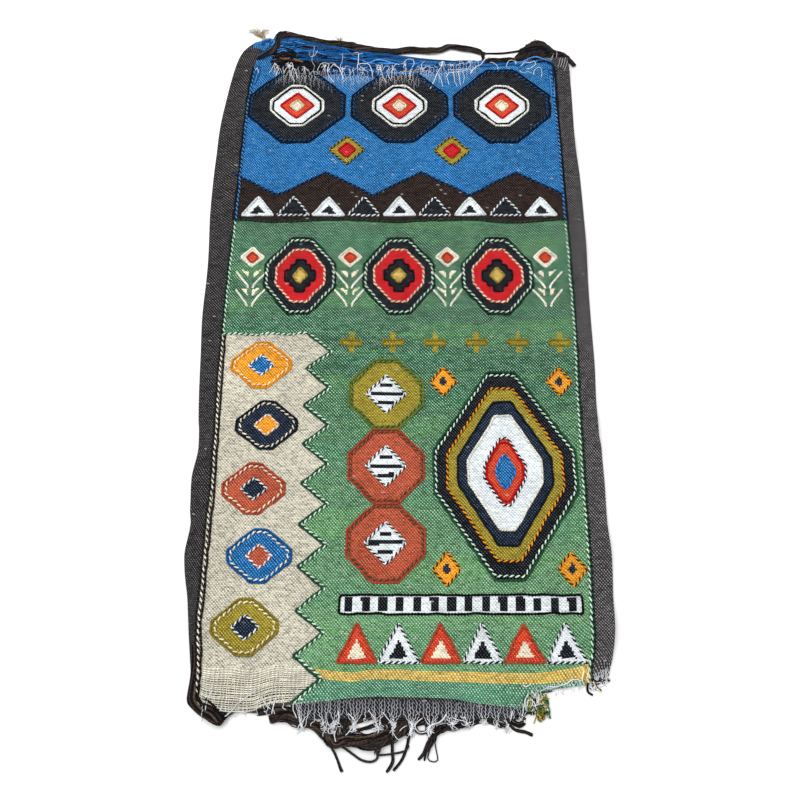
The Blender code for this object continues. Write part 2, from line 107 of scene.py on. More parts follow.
# row of weft, then x, y of the line that this row follows; row 62 is straight, where the stripes' sway ends
rowLines = {row: metres(line) for row, line in {
    0: [(-320, -580), (320, -580)],
    charcoalTop: [
        (-150, -548), (-110, -544), (-30, -537), (30, -538), (75, -539.5), (100, -544), (175, -552),
        (200, -553),
    ],
    greenTop: [
        (-150, -513), (-120, -513), (-85, -516), (-62, -517.8), (-30, -514.8), (0, -515), (30, -516.8),
        (100, -519), (185, -521), (220, -519), (256, -513.5), (275, -508.5),
    ],
    yellowTop: [
        (-150, -500.5), (-120, -500.8), (-85, -504.2), (-62, -505.8), (-30, -502.2), (0, -502),
        (30, -503.8), (100, -505), (185, -507), (220, -503.5), (256, -497.5), (275, -490),
    ],
    62: [(-320, -400), (0, -402), (320, -399)],
    brownFoot: [(-280, 215), (-200, 208), (-100, 213.5), (0, 208.5), (100, 213.5), (200, 208), (280, 214)],
    rowCount: [(-320, 602), (320, 602)],
}.items()}
rowMarks = list(rowLines)
plainHeights = metres([-580, -538, -516, -504, -402, 211, 602])    # the same rows in a straight web
toothEdge = metres([(-105 if k % 2 else -143, -545 + 30.5 * k) for k in range(19)])
peaks = {"left": -0.285, "width": 0.0815, "foot": 0.262, "rise": 0.046}    # blue field over the brown band

# ground, the lighter dots between the floats (partly the warp showing, partly a painted highlight on the lit
# wool), strength of the heather
wools = {
    "charcoal": ("2b2829", "9a979a", 0.75), "footCharcoal": ("151518", "7c7c84", 0.40),
    "blue": ("0b5796", "72bff4", 0.40), "black": ("05060a", "565c65", 0.25),
    "brown": ("150c0b", "675650", 0.35), "green": ("244e36", "b4e2c2", 0.60),
    "bandGreen": ("42805f", "c2e4cc", 0.40), "yellow": ("c8a54c", "f9eeab", 0.40),
    "olive": ("8f7e26", "d6c867", 0.35), "orange": ("ea9415", "ffcf70", 0.25),
    "rust": ("ac4a33", "e08c6e", 0.35), "flame": ("cc3a22", "f6805e", 0.25),
    "red": ("bc0e1b", "ec5654", 0.20), "white": ("e6eef1", "fbfdfd", 0.12),
    "cream": ("c2bca8", "f2f1e4", 0.60), "warm": ("eadfc2", "fdf8ea", 0.20),
    "navy": ("101927", "5b6b82", 0.25),
}
yarnColours = {
    "mint": "cbe6cf", "pine": "1c4431", "sky": "4c8fd0", "ink": "0e1624", "tan": "c8ab82", "warp": "eef1f6",
    "blend": "50433a", "amber": "80562a", "hay": "7d6239", "slate": "4c5766", "umber": "362c28",
    "moss": "6a7d34", "soot": "0e0f13", "dusk": "1b4a80", "panel": "e2decd",
}


def linearColour(hexText):
    parts = [int(hexText[i:i + 2], 16) / 255 for i in (0, 2, 4)]
    return np.array([p / 12.92 if p <= 0.04045 else ((p + 0.055) / 1.055) ** 2.4 for p in parts])


def woolColour(name):
    return linearColour(wools[name][0] if name in wools else yarnColours[name])


def mixed(base, other, share):
    return base * (1 - share) + other * share


def readTable(table, at, column=1):
    # a smooth reading without overshoot, as the solids use
    keys, values = table[:, 0], table[:, column]
    at = np.clip(np.asarray(at, dtype=float), keys[0], keys[-1])
    slopes = np.diff(values) / np.diff(keys)
    product = slopes[:-1] * slopes[1:]
    total = slopes[:-1] + slopes[1:]
    between = np.where(product > 0, 2 * product / np.where(total == 0, 1, total), 0)
    tangents = np.concatenate([slopes[:1], between, slopes[-1:]])
    i = np.clip(np.searchsorted(keys, at, side="right") - 1, 0, len(slopes) - 1)
    span = keys[i + 1] - keys[i]
    f = (at - keys[i]) / span
    return ((2 * f ** 3 - 3 * f ** 2 + 1) * values[i] + (f ** 3 - 2 * f ** 2 + f) * span * tangents[i]
            + (3 * f ** 2 - 2 * f ** 3) * values[i + 1] + (f ** 3 - f ** 2) * span * tangents[i + 1])


def clothLift(x, y):
    height = np.zeros_like(np.asarray(x, dtype=float))
    for rx, ry, reachX, reachY, rise in ripples:
        away = np.minimum(np.hypot((x - rx) / reachX, (y - ry) / reachY), 1)
        height += rise * (0.5 + 0.5 * np.cos(np.pi * away))
    return height


def clothTop(x, y):
    # the slack of a hand-beaten web swells a little: low, long and never quite repeating
    wave = np.sin(61 * x + 23 * y + 0.7) + np.sin(-37 * x + 52 * y + 2.1) + 0.7 * np.sin(118 * x - 41 * y)
    return clothLift(x, y) + clothShape["thickness"] + clothShape["swell"] * (wave + 2.7) / 2


def acrossX(share, y):
    # warps keep their share of the border or of the field, so they crowd where the cloth draws in
    b = borderShare
    left, right = readTable(sideEdges, y, 1), readTable(sideEdges, y, 2)
    innerLeft, innerRight = readTable(leftBorder, y), readTable(rightBorder, y)
    return np.where(share < b, left + share / b * (innerLeft - left),
                    np.where(share > 1 - b, innerRight + (share - 1 + b) / b * (right - innerRight),
                             innerLeft + (share - b) / (1 - 2 * b) * (innerRight - innerLeft)))


def endOfColumn(share, edge):
    # where a warp meets a woven end, found by halving
    low, high = np.full_like(share, -0.33), np.full_like(share, 0.33)
    for _ in range(34):
        x = (low + high) / 2
        further = acrossX(share, readTable(edge, x)) > x
        low, high = np.where(further, x, low), np.where(further, high, x)
    return readTable(edge, (low + high) / 2)


def rowSteps(x):
    # first row, last row, foot and top of each stretch of the web at x
    heights = [readTable(line, x) for line in rowLines.values()]
    return list(zip(rowMarks, rowMarks[1:], heights, heights[1:]))


def heightOfRow(row, x):
    steps = rowSteps(x)
    return sum(np.clip((row - a) / (b - a), 0, 1) * (top - foot) for a, b, foot, top in steps) + steps[0][2]


def rowOfHeight(y, x):
    return sum(np.clip((y - foot) / (top - foot), 0, 1) * (b - a) for a, b, foot, top in rowSteps(x))


def insideCloth(x, y):
    within = (y > readTable(bottomEdge, x)) & (y < readTable(topEdge, x))
    return within & (x > readTable(sideEdges, y, 1)) & (x < readTable(sideEdges, y, 2))


def toothX(y):
    # where the cream panel's toothed edge stands
    return np.interp(y, toothEdge[:, 1], toothEdge[:, 0])


def readMesh(items, name, width=1, kind=np.float32):
    values = np.empty(len(items) * width, dtype=kind)
    items.foreach_get(name, values)
    return values.reshape(-1, width) if width > 1 else values


def editMesh(selecting, operator=None, **settings):
    bpy.ops.object.mode_set(mode="EDIT")
    if selecting:
        bpy.ops.mesh.select_all(action=selecting)
    if operator:
        operator(**settings)
    bpy.ops.object.mode_set(mode="OBJECT")


def setColours(mesh, name, values, domain):
    layer = mesh.attributes.new(name, "FLOAT_COLOR", domain)
    layer.data.foreach_set("color", np.c_[values, np.ones(len(values))].astype(np.float32).ravel())


def finishPiece(piece, material, slotName, *nodes):
    piece.data.materials.clear()
    piece.data.materials.append(material)
    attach(piece, "root")
    if nodes:
        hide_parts(*nodes)
    print("stage:", piece.name, "triangles", sum(len(p.vertices) - 2 for p in piece.data.polygons))


def yarnTubes(name, strands, sidesStep=1):
    # strands: (points, radii, colour). One round bevelled curve for all of them, then a mesh with closed ends
    curve = bpy.data.curves.new(name, "CURVE")
    curve.dimensions = "3D"
    curve.bevel_depth = 1.0
    curve.bevel_resolution = sidesStep
    for points, radii, colour in strands:
        points[:, 2] = np.maximum(points[:, 2], radii)      # no yarn sinks into the floor
        spline = curve.splines.new("POLY")
        spline.points.add(len(points) - 1)
        spline.points.foreach_set("co", np.c_[points, np.ones(len(points))].ravel())
        spline.points.foreach_set("radius", np.asarray(radii, dtype=float))
    thing = bpy.data.objects.new(name, curve)
    bpy.context.scene.collection.objects.link(thing)
    bpy.ops.object.select_all(action="DESELECT")
    thing.select_set(True)
    bpy.context.view_layer.objects.active = thing
    bpy.ops.object.convert(target="MESH")
    thing = bpy.context.view_layer.objects.active
    mesh = thing.data
    sides = 4 + 2 * sidesStep
    pointCount = sum(len(points) for points, radii, colour in strands)
    assert len(mesh.vertices) == sides * pointCount, "the tubes have another number of corners"
    along = np.concatenate([np.repeat(np.r_[0, np.cumsum(np.linalg.norm(np.diff(p, axis=0), axis=1))], sides)
                            for p, r, c in strands])
    tints = np.concatenate([np.repeat(np.broadcast_to(c, (len(p), 3)), sides, axis=0) for p, r, c in strands])
    setColours(mesh, "yarn", tints, "POINT")
    corner = readMesh(mesh.loops, "vertex_index", kind=np.int32)
    turn = (corner % sides).astype(float).reshape(-1, 4)
    wraps = turn.max(axis=1) - turn.min(axis=1) > sides / 2
    turn[wraps] = np.where(turn[wraps] == 0, sides, turn[wraps])
    lay = mesh.uv_layers.new(name="yarnLay")      # turns round the yarn, centimetres along it
    lay.data.foreach_set("uv", np.c_[turn.ravel() / sides, along[corner] * 100].astype(np.float32).ravel())
    editMesh("SELECT", bpy.ops.mesh.fill_holes, sides=sides)
    bpy.ops.object.shade_smooth()
    return thing


def sideways(line):
    # unit steps along a line and to its right
    way = np.gradient(line, axis=0)
    way /= np.maximum(np.linalg.norm(way, axis=1, keepdims=True), 1e-9)
    return np.c_[way[:, 1], -way[:, 0]]


def smoothRoute(stations, step):
    # a smooth line through a few stations, read every few millimetres; the first two values are x and y
    rows = []
    last = len(stations) - 1
    for k in range(last):
        before, a, b, after = (np.array(stations[i]) for i in (max(k - 1, 0), k, k + 1, min(k + 2, last)))
        count = max(2, int(round(np.linalg.norm(b[:2] - a[:2]) / step)))
        for f in np.arange(count) / count:
            rows.append(0.5 * (2 * a + (b - before) * f + (2 * before - 5 * a + 4 * b - after) * f * f
                               + (3 * a - before - 3 * b + after) * f ** 3))
    rows = np.array(rows + [np.array(stations[-1], dtype=float)])
    return rows, sideways(rows[:, :2])


def tapered(count, radius):
    # radii of a yarn that thins at both ends
    radii = np.full(count, radius)
    radii[[0, -1]] *= 0.5
    return radii


def smoothNoise(chance, count, knots):
    # a slow random line through a few knots
    values = chance.normal(size=knots + 3)
    at = np.linspace(0, knots, count)
    i = np.minimum(at.astype(int), knots - 1)
    f = at - i
    return mixed(values[i], values[i + 1], f * f * (3 - 2 * f))


def streaks(chance, count, knots, depth=0.10, low=0.7, high=1.3):
    # how the depth of dye drifts along a yarn
    return np.clip(1 + depth * smoothNoise(chance, count, knots), low, high)[:, None]


def tinted(chance, name, spread=0.16):
    return woolColour(name) * max(1 + spread * chance.normal(), 0.4)


def fillSockets(tree, node, sockets):
    # sockets by name, or in the node's own order; each takes a value or a link
    for key, value in sockets.items() if isinstance(sockets, dict) else enumerate(sockets):
        if isinstance(value, bpy.types.NodeSocket):
            tree.links.new(value, node.inputs[key])
        else:
            node.inputs[key].default_value = value


def addNode(tree, kind, sockets=(), out=0, **settings):
    node = tree.nodes.new("ShaderNode" + kind)
    for key, value in settings.items():
        setattr(node, key, value)
    fillSockets(tree, node, sockets)
    return node.outputs[out]


def newMaterial(name):
    material = bpy.data.materials.new(name)
    material.use_nodes = True
    return material, material.node_tree, material.node_tree.nodes["Principled BSDF"]


weave = {
    "floatLength": 4.7,       # mm over two warps, as measured; the mesh has a cell each 2.8 mm
    "rowHeight": 2.45,        # mm, one pass of weft
    "finer": (1.18, 1.12),    # floats and rows of the web for each pair of cells and each row of the mesh
    "wander": (0.80, 1.30),   # in floats and rows, how far the beat strays
    "lean": 0.24,             # the glints lean, because each weft climbs over its warp
    "relief": 0.0008,
}


def weaveMaterial():
    # weft-faced plain weave of hand-spun wool: small pebbles in brick order, with lighter dots between them,
    # partly the warp showing and partly a painted highlight
    material, tree, shader = newMaterial("weft_faced_wool")
    cells = addNode(tree, "UVMap", uv_map="weaveLay")
    lay = addNode(tree, "VectorMath", [cells, (*weave["finer"], 1)], operation="MULTIPLY")
    flat = addNode(tree, "VectorMath", [lay, (weave["floatLength"], weave["rowHeight"], 1)],
                   operation="MULTIPLY")
    wander = addNode(tree, "TexNoise", {"Vector": flat, "Scale": 0.045, "Detail": 3.0}, "Color",
                     noise_dimensions="2D")
    strayX, strayY = weave["wander"]
    stray = addNode(tree, "VectorMath", [wander, (strayX, strayY, 0), (-strayX / 2, -strayY / 2, 0)],
                    operation="MULTIPLY_ADD")
    place = addNode(tree, "VectorMath", [lay, stray], operation="ADD")
    across, up = addNode(tree, "SeparateXYZ", [place], slice(2))
    row = addNode(tree, "Math", [up], operation="FLOOR")
    halfRow = addNode(tree, "Math", [row, 0.5], operation="MULTIPLY")
    brick = addNode(tree, "Math", [halfRow], operation="FRACT")
    inRow = addNode(tree, "Math", [up], operation="FRACT")
    leaning = addNode(tree, "Math", [inRow, weave["lean"], across], operation="MULTIPLY_ADD")
    column = addNode(tree, "Math", [leaning, brick], operation="ADD")
    column = addNode(tree, "Math", [column, 0.5 - weave["lean"] / 2], operation="ADD")
    columnWhole = addNode(tree, "Math", [column], operation="FLOOR")
    # 1 at the lighter dots between two floats (the warp showing, with a painted highlight), -1 on the floats'
    # middles, 0 at the edges of a row
    columnTurn = addNode(tree, "Math", [column, 2 * math.pi], operation="MULTIPLY")
    columnWave = addNode(tree, "Math", [columnTurn], operation="COSINE")
    rowTurn = addNode(tree, "Math", [inRow, math.pi], operation="MULTIPLY")
    rowArch = addNode(tree, "Math", [rowTurn], operation="SINE")
    feel = addNode(tree, "Attribute", out="Vector", attribute_name="feel")
    strength, heather, openness = addNode(tree, "SeparateXYZ", [feel], slice(3))
    yarn = addNode(tree, "Attribute", attribute_name="yarn")
    spark = addNode(tree, "Attribute", attribute_name="spark")
    tall = addNode(tree, "Math", [rowArch, openness], operation="MAXIMUM")
    check = addNode(tree, "Math", [columnWave, tall], operation="MULTIPLY")
    floatEnd = addNode(tree, "MapRange", [check, 0.10, 0.72], interpolation_type="SMOOTHSTEP")
    valley = addNode(tree, "MapRange", [check, -0.05, -0.75], interpolation_type="SMOOTHSTEP")
    # each float has its own tone, each weft its own streaks, each dye lot its own depth
    cellId = addNode(tree, "CombineXYZ", [columnWhole, row])
    cellNoise = addNode(tree, "TexWhiteNoise", [cellId], "Color", noise_dimensions="3D")
    toneChance, glintChance, nepChance = addNode(tree, "SeparateXYZ", [cellNoise], slice(3))
    streakPlace = addNode(tree, "VectorMath", [flat, (0.05, 0.42, 1.0)], operation="MULTIPLY")
    streak = addNode(tree, "TexNoise", {"Vector": streakPlace, "Scale": 1.0, "Detail": 3.0, "Roughness": 0.7},
                     noise_dimensions="2D")
    # real fibres are far too fine to show: here they are drawn as coarse as two thirds of a millimetre
    hair = addNode(tree, "TexNoise", {"Vector": flat, "Scale": 1.5, "Detail": 3.0, "Roughness": 0.8},
                   noise_dimensions="2D")
    broad = addNode(tree, "TexNoise", {"Vector": flat, "Scale": 0.012, "Detail": 4.0}, noise_dimensions="2D")
    toneReach = addNode(tree, "MapRange", [heather, 0, 1, 0.25, 1.10])
    tone = addNode(tree, "MapRange", [toneChance, 0, 1, -0.5, 0.5])
    tone = addNode(tree, "Math", [tone, toneReach], operation="MULTIPLY")
    streakTone = addNode(tree, "MapRange", [streak, 0.25, 0.75, 0.72, 1.28])
    tone = addNode(tree, "Math", [tone, streakTone], operation="ADD")
    broadTone = addNode(tree, "MapRange", [broad, 0.3, 0.7, 0.88, 1.14])
    # painted shade: darker at the seams between rows of weft and on the floats' middles
    seamShade = addNode(tree, "MapRange", [rowArch, 0.0, 0.5, 0.72, 1.0])
    valleyShade = addNode(tree, "MapRange", [valley, 0, 1, 1.0, 0.66])
    for shade in (broadTone, seamShade, valleyShade):
        tone = addNode(tree, "Math", [tone, shade], operation="MULTIPLY")
    wool = addNode(tree, "VectorMath", {0: yarn, "Scale": tone}, operation="SCALE")
    # lighter dots at the ends of the floats, partly the warp and partly a painted highlight, which run
    # through where the web is slack
    glint = addNode(tree, "MapRange", [glintChance, 0, 1, 0.20, 1.40])
    glint = addNode(tree, "Math", [glint, floatEnd], operation="MULTIPLY")
    glint = addNode(tree, "Math", [glint, strength], operation="MULTIPLY", use_clamp=True)
    surface = addNode(tree, "Mix", {0: glint, 6: wool, 7: spark}, 2, data_type="RGBA")
    # a few pale neps are spun into the wool
    nep = addNode(tree, "MapRange", [nepChance, 0.996, 0.998, 0.0, 0.5])
    nep = addNode(tree, "Math", [nep, rowArch], operation="MULTIPLY")
    surface = addNode(tree, "Mix", {0: nep, 6: surface, 7: (0.62, 0.60, 0.55, 1)}, 2, data_type="RGBA")
    sunk = addNode(tree, "MapRange", [floatEnd, 0, 1, 1.0, 0.25])
    pebble = addNode(tree, "Math", [rowArch, sunk], operation="MULTIPLY")
    relief = addNode(tree, "Math", [hair, 0.35, pebble], operation="MULTIPLY_ADD")
    bump = addNode(tree, "Bump", {"Strength": 0.8, "Distance": weave["relief"], "Height": relief})
    fillSockets(tree, shader, {"Base Color": surface, "Normal": bump, "Roughness": 0.92,
                               "Specular IOR Level": 0.06, "Sheen Weight": 0.02, "Sheen Roughness": 0.6})
    return material


def yarnMaterial(name, turnLength, relief, hairiness):
    # spun wool: fibres run round it in a long spiral and stand off it as a soft halo
    material, tree, shader = newMaterial(name)
    around, along = addNode(tree, "SeparateXYZ", [addNode(tree, "UVMap", uv_map="yarnLay")], slice(2))
    twist = addNode(tree, "Math", [along, 10 / turnLength, around], operation="MULTIPLY_ADD")
    wave = addNode(tree, "Math", [twist, 2 * math.pi], operation="MULTIPLY")
    ridge = addNode(tree, "Math", [wave], operation="SINE")
    onPiece = addNode(tree, "TexCoord", out="Object")
    # real fibres are far too fine to show: here they are drawn about a millimetre coarse
    hair = addNode(tree, "TexNoise", {"Vector": onPiece, "Scale": 900.0, "Detail": 3.0, "Roughness": 0.75})
    broad = addNode(tree, "TexNoise", {"Vector": onPiece, "Scale": 70.0, "Detail": 3.0})
    # painted shade in the grooves of the twist and a painted highlight on its ridges
    tone = addNode(tree, "MapRange", [ridge, -1.0, 1.0, 0.70, 1.16])
    hairTone = addNode(tree, "MapRange", [hair, 0.3, 0.7, 1 - hairiness, 1 + hairiness])
    broadTone = addNode(tree, "MapRange", [broad, 0.3, 0.7, 0.86, 1.16])
    for shade in (hairTone, broadTone):
        tone = addNode(tree, "Math", [tone, shade], operation="MULTIPLY")
    yarn = addNode(tree, "Attribute", attribute_name="yarn")
    coloured = addNode(tree, "VectorMath", {0: yarn, "Scale": tone}, operation="SCALE")
    height = addNode(tree, "Math", [hair, 0.8, ridge], operation="MULTIPLY_ADD")
    bump = addNode(tree, "Bump", {"Strength": 0.6, "Distance": relief, "Height": height})
    fillSockets(tree, shader, {"Base Color": coloured, "Normal": bump, "Roughness": 0.9,
                               "Specular IOR Level": 0.08, "Sheen Weight": 0.03, "Sheen Roughness": 0.5})
    return material


clothWool = weaveMaterial()
# name, mm of yarn in one turn of its twist, relief in metres, hairiness
looseWool = yarnMaterial("loose_single_ply_wool", 6.0, 0.0005, 0.35)    # soft, hairy and dull
warpWool = yarnMaterial("two_ply_warp_wool", 2.2, 0.0003, 0.08)         # fine, tight and a little bright
outlineWool = yarnMaterial("twined_outline_wool", 4.0, 0.0004, 0.12)    # smooth, so its coils stand out


twine = {
    "turn": 0.0086,          # length in which the two yarns wind round each other once
    "reach": 0.00085,        # from the middle of the line to the middle of a yarn
    "radius": 0.00122,
    "fuller": 1.14,          # the first yarn is a little thicker than the second
    "shade": 0.80,           # painted shade on the second yarn where both have one colour, so that the twist shows
    "lift": 0.0006,
    "waver": 0.0005,
    "step": 0.0017,
    "apart": 0.0038,         # from one line to the next inside it
}

# The design is charted in plain shapes. A twined line of two yarns covers each join of two wools.
shapes = []      # ring in metres, wool
ropes = []       # points in metres, closed, one yarn, other yarn


def addRope(points, pair, closed=False):
    # a twined line through points in metres
    ropes.append((np.array(points), closed, *pair.split()))


def addShape(ring, wool, *pairs):
    # a patch of one wool, its ring in mm, with a twined line on its edge and others inside that one
    ring = metres(ring)
    shapes.append((ring, wool))
    middle = ring.mean(axis=0)
    a, b = ring - middle, np.roll(ring, -1, axis=0) - middle
    apothem = (np.abs(a[:, 0] * b[:, 1] - a[:, 1] * b[:, 0]) / np.linalg.norm(b - a, axis=1)).min()
    for k, pair in enumerate(pairs):
        addRope(middle + a * (1 - twine["apart"] * k / apothem), pair, closed=True)


def lozenge(cx, cy, wide, high, cut=0):
    # wide and high are halves; cut takes off that share of each point
    corners = [(cut, 1), (1, cut), (1, -cut), (cut, -1), (-cut, -1), (-1, -cut), (-1, cut), (-cut, 1)]
    return np.array(corners if cut else corners[::2]) * (wide, high) + (cx, cy)


def steppedLozenge(cx, cy, wide, high, steps):
    quarter = [(k + 1, steps - k - j) for k in range(steps) for j in (0, 1)]
    quarter = np.array(quarter[:-1]) / steps * (wide, high)
    return np.vstack([quarter, quarter[::-1] * (1, -1), -quarter, quarter[::-1] * (-1, 1)]) + (cx, cy)


def block(left, foot, right, top):
    return [(left, foot), (right, foot), (right, top), (left, top)]


def addNest(cx, cy, *rings):
    # lozenges from the outside in: half width, half height, cut, wool, then the yarns of its twined lines
    for wide, high, cut, wool, *pairs in rings:
        addShape(lozenge(cx, cy, wide, high, cut), wool, *pairs)


def addPlant(cx, foot, high):
    # a flowering sprig: two pairs of long leaves, small leaves between them, and a flower with a red heart
    for level, reach in ((0.10, 24), (0.38, 26)):
        y = foot + high * level
        for side in (-1, 1):
            stalk = [(cx + side * 4, y - 6), (cx + side * 5, y), (cx + side * reach, y + 26)]
            addRope(metres(stalk), "warm white")
            addShape([(cx + side * 4, y + 14), (cx + side * 16, y + 29), (cx + side * 4, y + 25)], "warm")
    addNest(cx, foot + high * 0.82, (19, 18, 0, "warm", "warm white"), (10, 10, 0, "flame", "rust rust"))


def layDesign():
    # top field
    for cx in (-178, 4, 186):
        addNest(cx, 448, (85, 79, 0.28, "black", "ink soot", "dusk soot"),
                (47, 43, 0.25, "white", "white warm", "black black"),
                (30, 28, 0, "flame", "red red"), (12, 12, 0, "warm", "warm warm"))
    for cx in (-87, 95):
        addNest(cx, 352, (31, 30, 0, "olive", "olive ink"), (15, 15, 0, "red", "red red"))
    # brown band
    for k in range(9):
        x = -262 + 59.7 * k
        white = k % 2 == 0
        addShape([(x, 222), (x + 54, 222), (x + 27, 258)], "white" if white else "black",
                 "white white" if white else "white ink")
        if white:
            addShape([(x + 14, 226), (x + 40, 226), (x + 27, 243)], "black")
    # upper green field
    for cx in (-158, 3, 164):
        addNest(cx, 108, (58, 70, 0.30, "black", "soot pine", "mint soot"),
                (40, 48, 0.30, "red", "warm rust"))
        addShape(steppedLozenge(cx, 108, 24, 29, 3), "black", "soot soot")
        addNest(cx, 108, (12, 14, 0, "yellow", "olive yellow"))
    for cx in (-238, -77, 83, 244):
        addPlant(cx, 45, 118)
    # cream panel
    for k, (wool, heart) in enumerate((("orange", "blue"), ("navy", "orange"), ("rust", "navy"),
                                       ("blue", "rust"), ("olive", "navy"))):
        addNest(-206 + (8 if k % 2 else -6), -50 - 99 * k,
                (46, 38, 0.22, wool, f"{wool} {wool}", f"warm {wool}"), (19, 17, 0, heart, f"white {heart}"))
    # lower green field: a column of joined lozenges beside a tall medallion
    for cy, wool, rope in ((-98, "olive", "moss"), (-213, "rust", "rust"), (-328, "rust", "rust")):
        addNest(-16, cy, (57, 57, 0.32, wool, f"{rope} {rope}", f"{rope} green"),
                (31, 31, 0, "white", "white black"))
        for level in (-16, -2, 12):
            half = 26 - abs(level + 3) * 1.1
            addShape(block(-16 - half, cy + level - 1, -16 + half, cy + level + 5), "black")
    addNest(162, -222, (107, 160, 0.20, "black", "pine green", "mint soot"),
            (86, 132, 0.20, "olive", "orange ink"), (70, 110, 0.20, "navy", "ink ink"),
            (55, 88, 0.20, "white", "warm white"), (31, 52, 0.20, "flame", "ink white", "red red"),
            (14, 25, 0.20, "blue", "sky blue"))
    for cx in (72, 252):
        for cy in (-78, -366):
            addNest(cx, cy, (20, 24, 0, "orange", "orange ink"), (7, 9, 0, "navy"))
    # small crosses between the fields
    for cx in range(-72, 324, 66):
        addShape(block(cx - 16, -16, cx + 16, -7), "olive", "olive olive")
        addShape(block(cx - 4, -28, cx + 4, 5), "olive")
    # barred band and a row of pyramids above the yellow stripe
    addShape(block(-80, -428, 262, -402), "white", "black black")
    for k in range(14):
        addShape(block(-74 + 24.3 * k, -425, -62 + 24.3 * k, -405), "black")
    for k in range(6):
        cx = -55 + 58.2 * k
        white = k % 2 == 1
        addShape([(cx - 28, -493), (cx + 28, -493), (cx, -440)], "white" if white else "flame",
                 "ink white" if white else "rust rust")
        addShape([(cx - 13, -487), (cx + 13, -487), (cx, -462)], "black" if white else "warm")
    # the cream panel's toothed edge, the line over the panel, the peaks and the brown band's foot
    addRope(toothEdge, "green pine")
    addRope(toothEdge + (0.004, 0), "mint green")
    addRope([(-0.278 + 0.01 * k, 0.003 + 0.0012 * math.sin(k)) for k in range(15)], "mint pine")
    addRope([(peaks["left"] + peaks["width"] * k, peaks["foot"] + (0 if k % 2 else peaks["rise"]))
             for k in range(8)], "dusk soot")
    x = np.linspace(-0.272, 0.283, 60)
    addRope(np.c_[x, readTable(rowLines[brownFoot], x)], "green black")
    # the borders' inner lines: foot, top, pairs of yarns
    green = (0.004, 0.210, ("pine soot", "mint pine"))
    blue = (0.212, 0.530, ("ink soot", "sky ink"))
    cream = (-0.535, 0.002, ("soot umber", "panel soot", "soot umber"))
    for table, side, stretches in ((leftBorder, 1, (cream, green, blue)),
                                   (rightBorder, -1, ((-0.535, *green[1:]), blue))):
        for foot, top, pairs in stretches:
            y = np.linspace(foot, top, 60)
            for k, pair in enumerate(pairs):
                addRope(np.c_[readTable(table, y) + side * (0.0036 * k - 0.001), y], pair)


def insideRing(x, y, ring):
    inside = np.zeros(len(x), dtype=bool)
    for (x1, y1), (x2, y2) in zip(ring, np.roll(ring, -1, axis=0)):
        if y1 != y2:
            cross = (y1 > y) != (y2 > y)
            inside ^= cross & (x < (x2 - x1) * (y - y1) / (y2 - y1) + x1)
    return inside


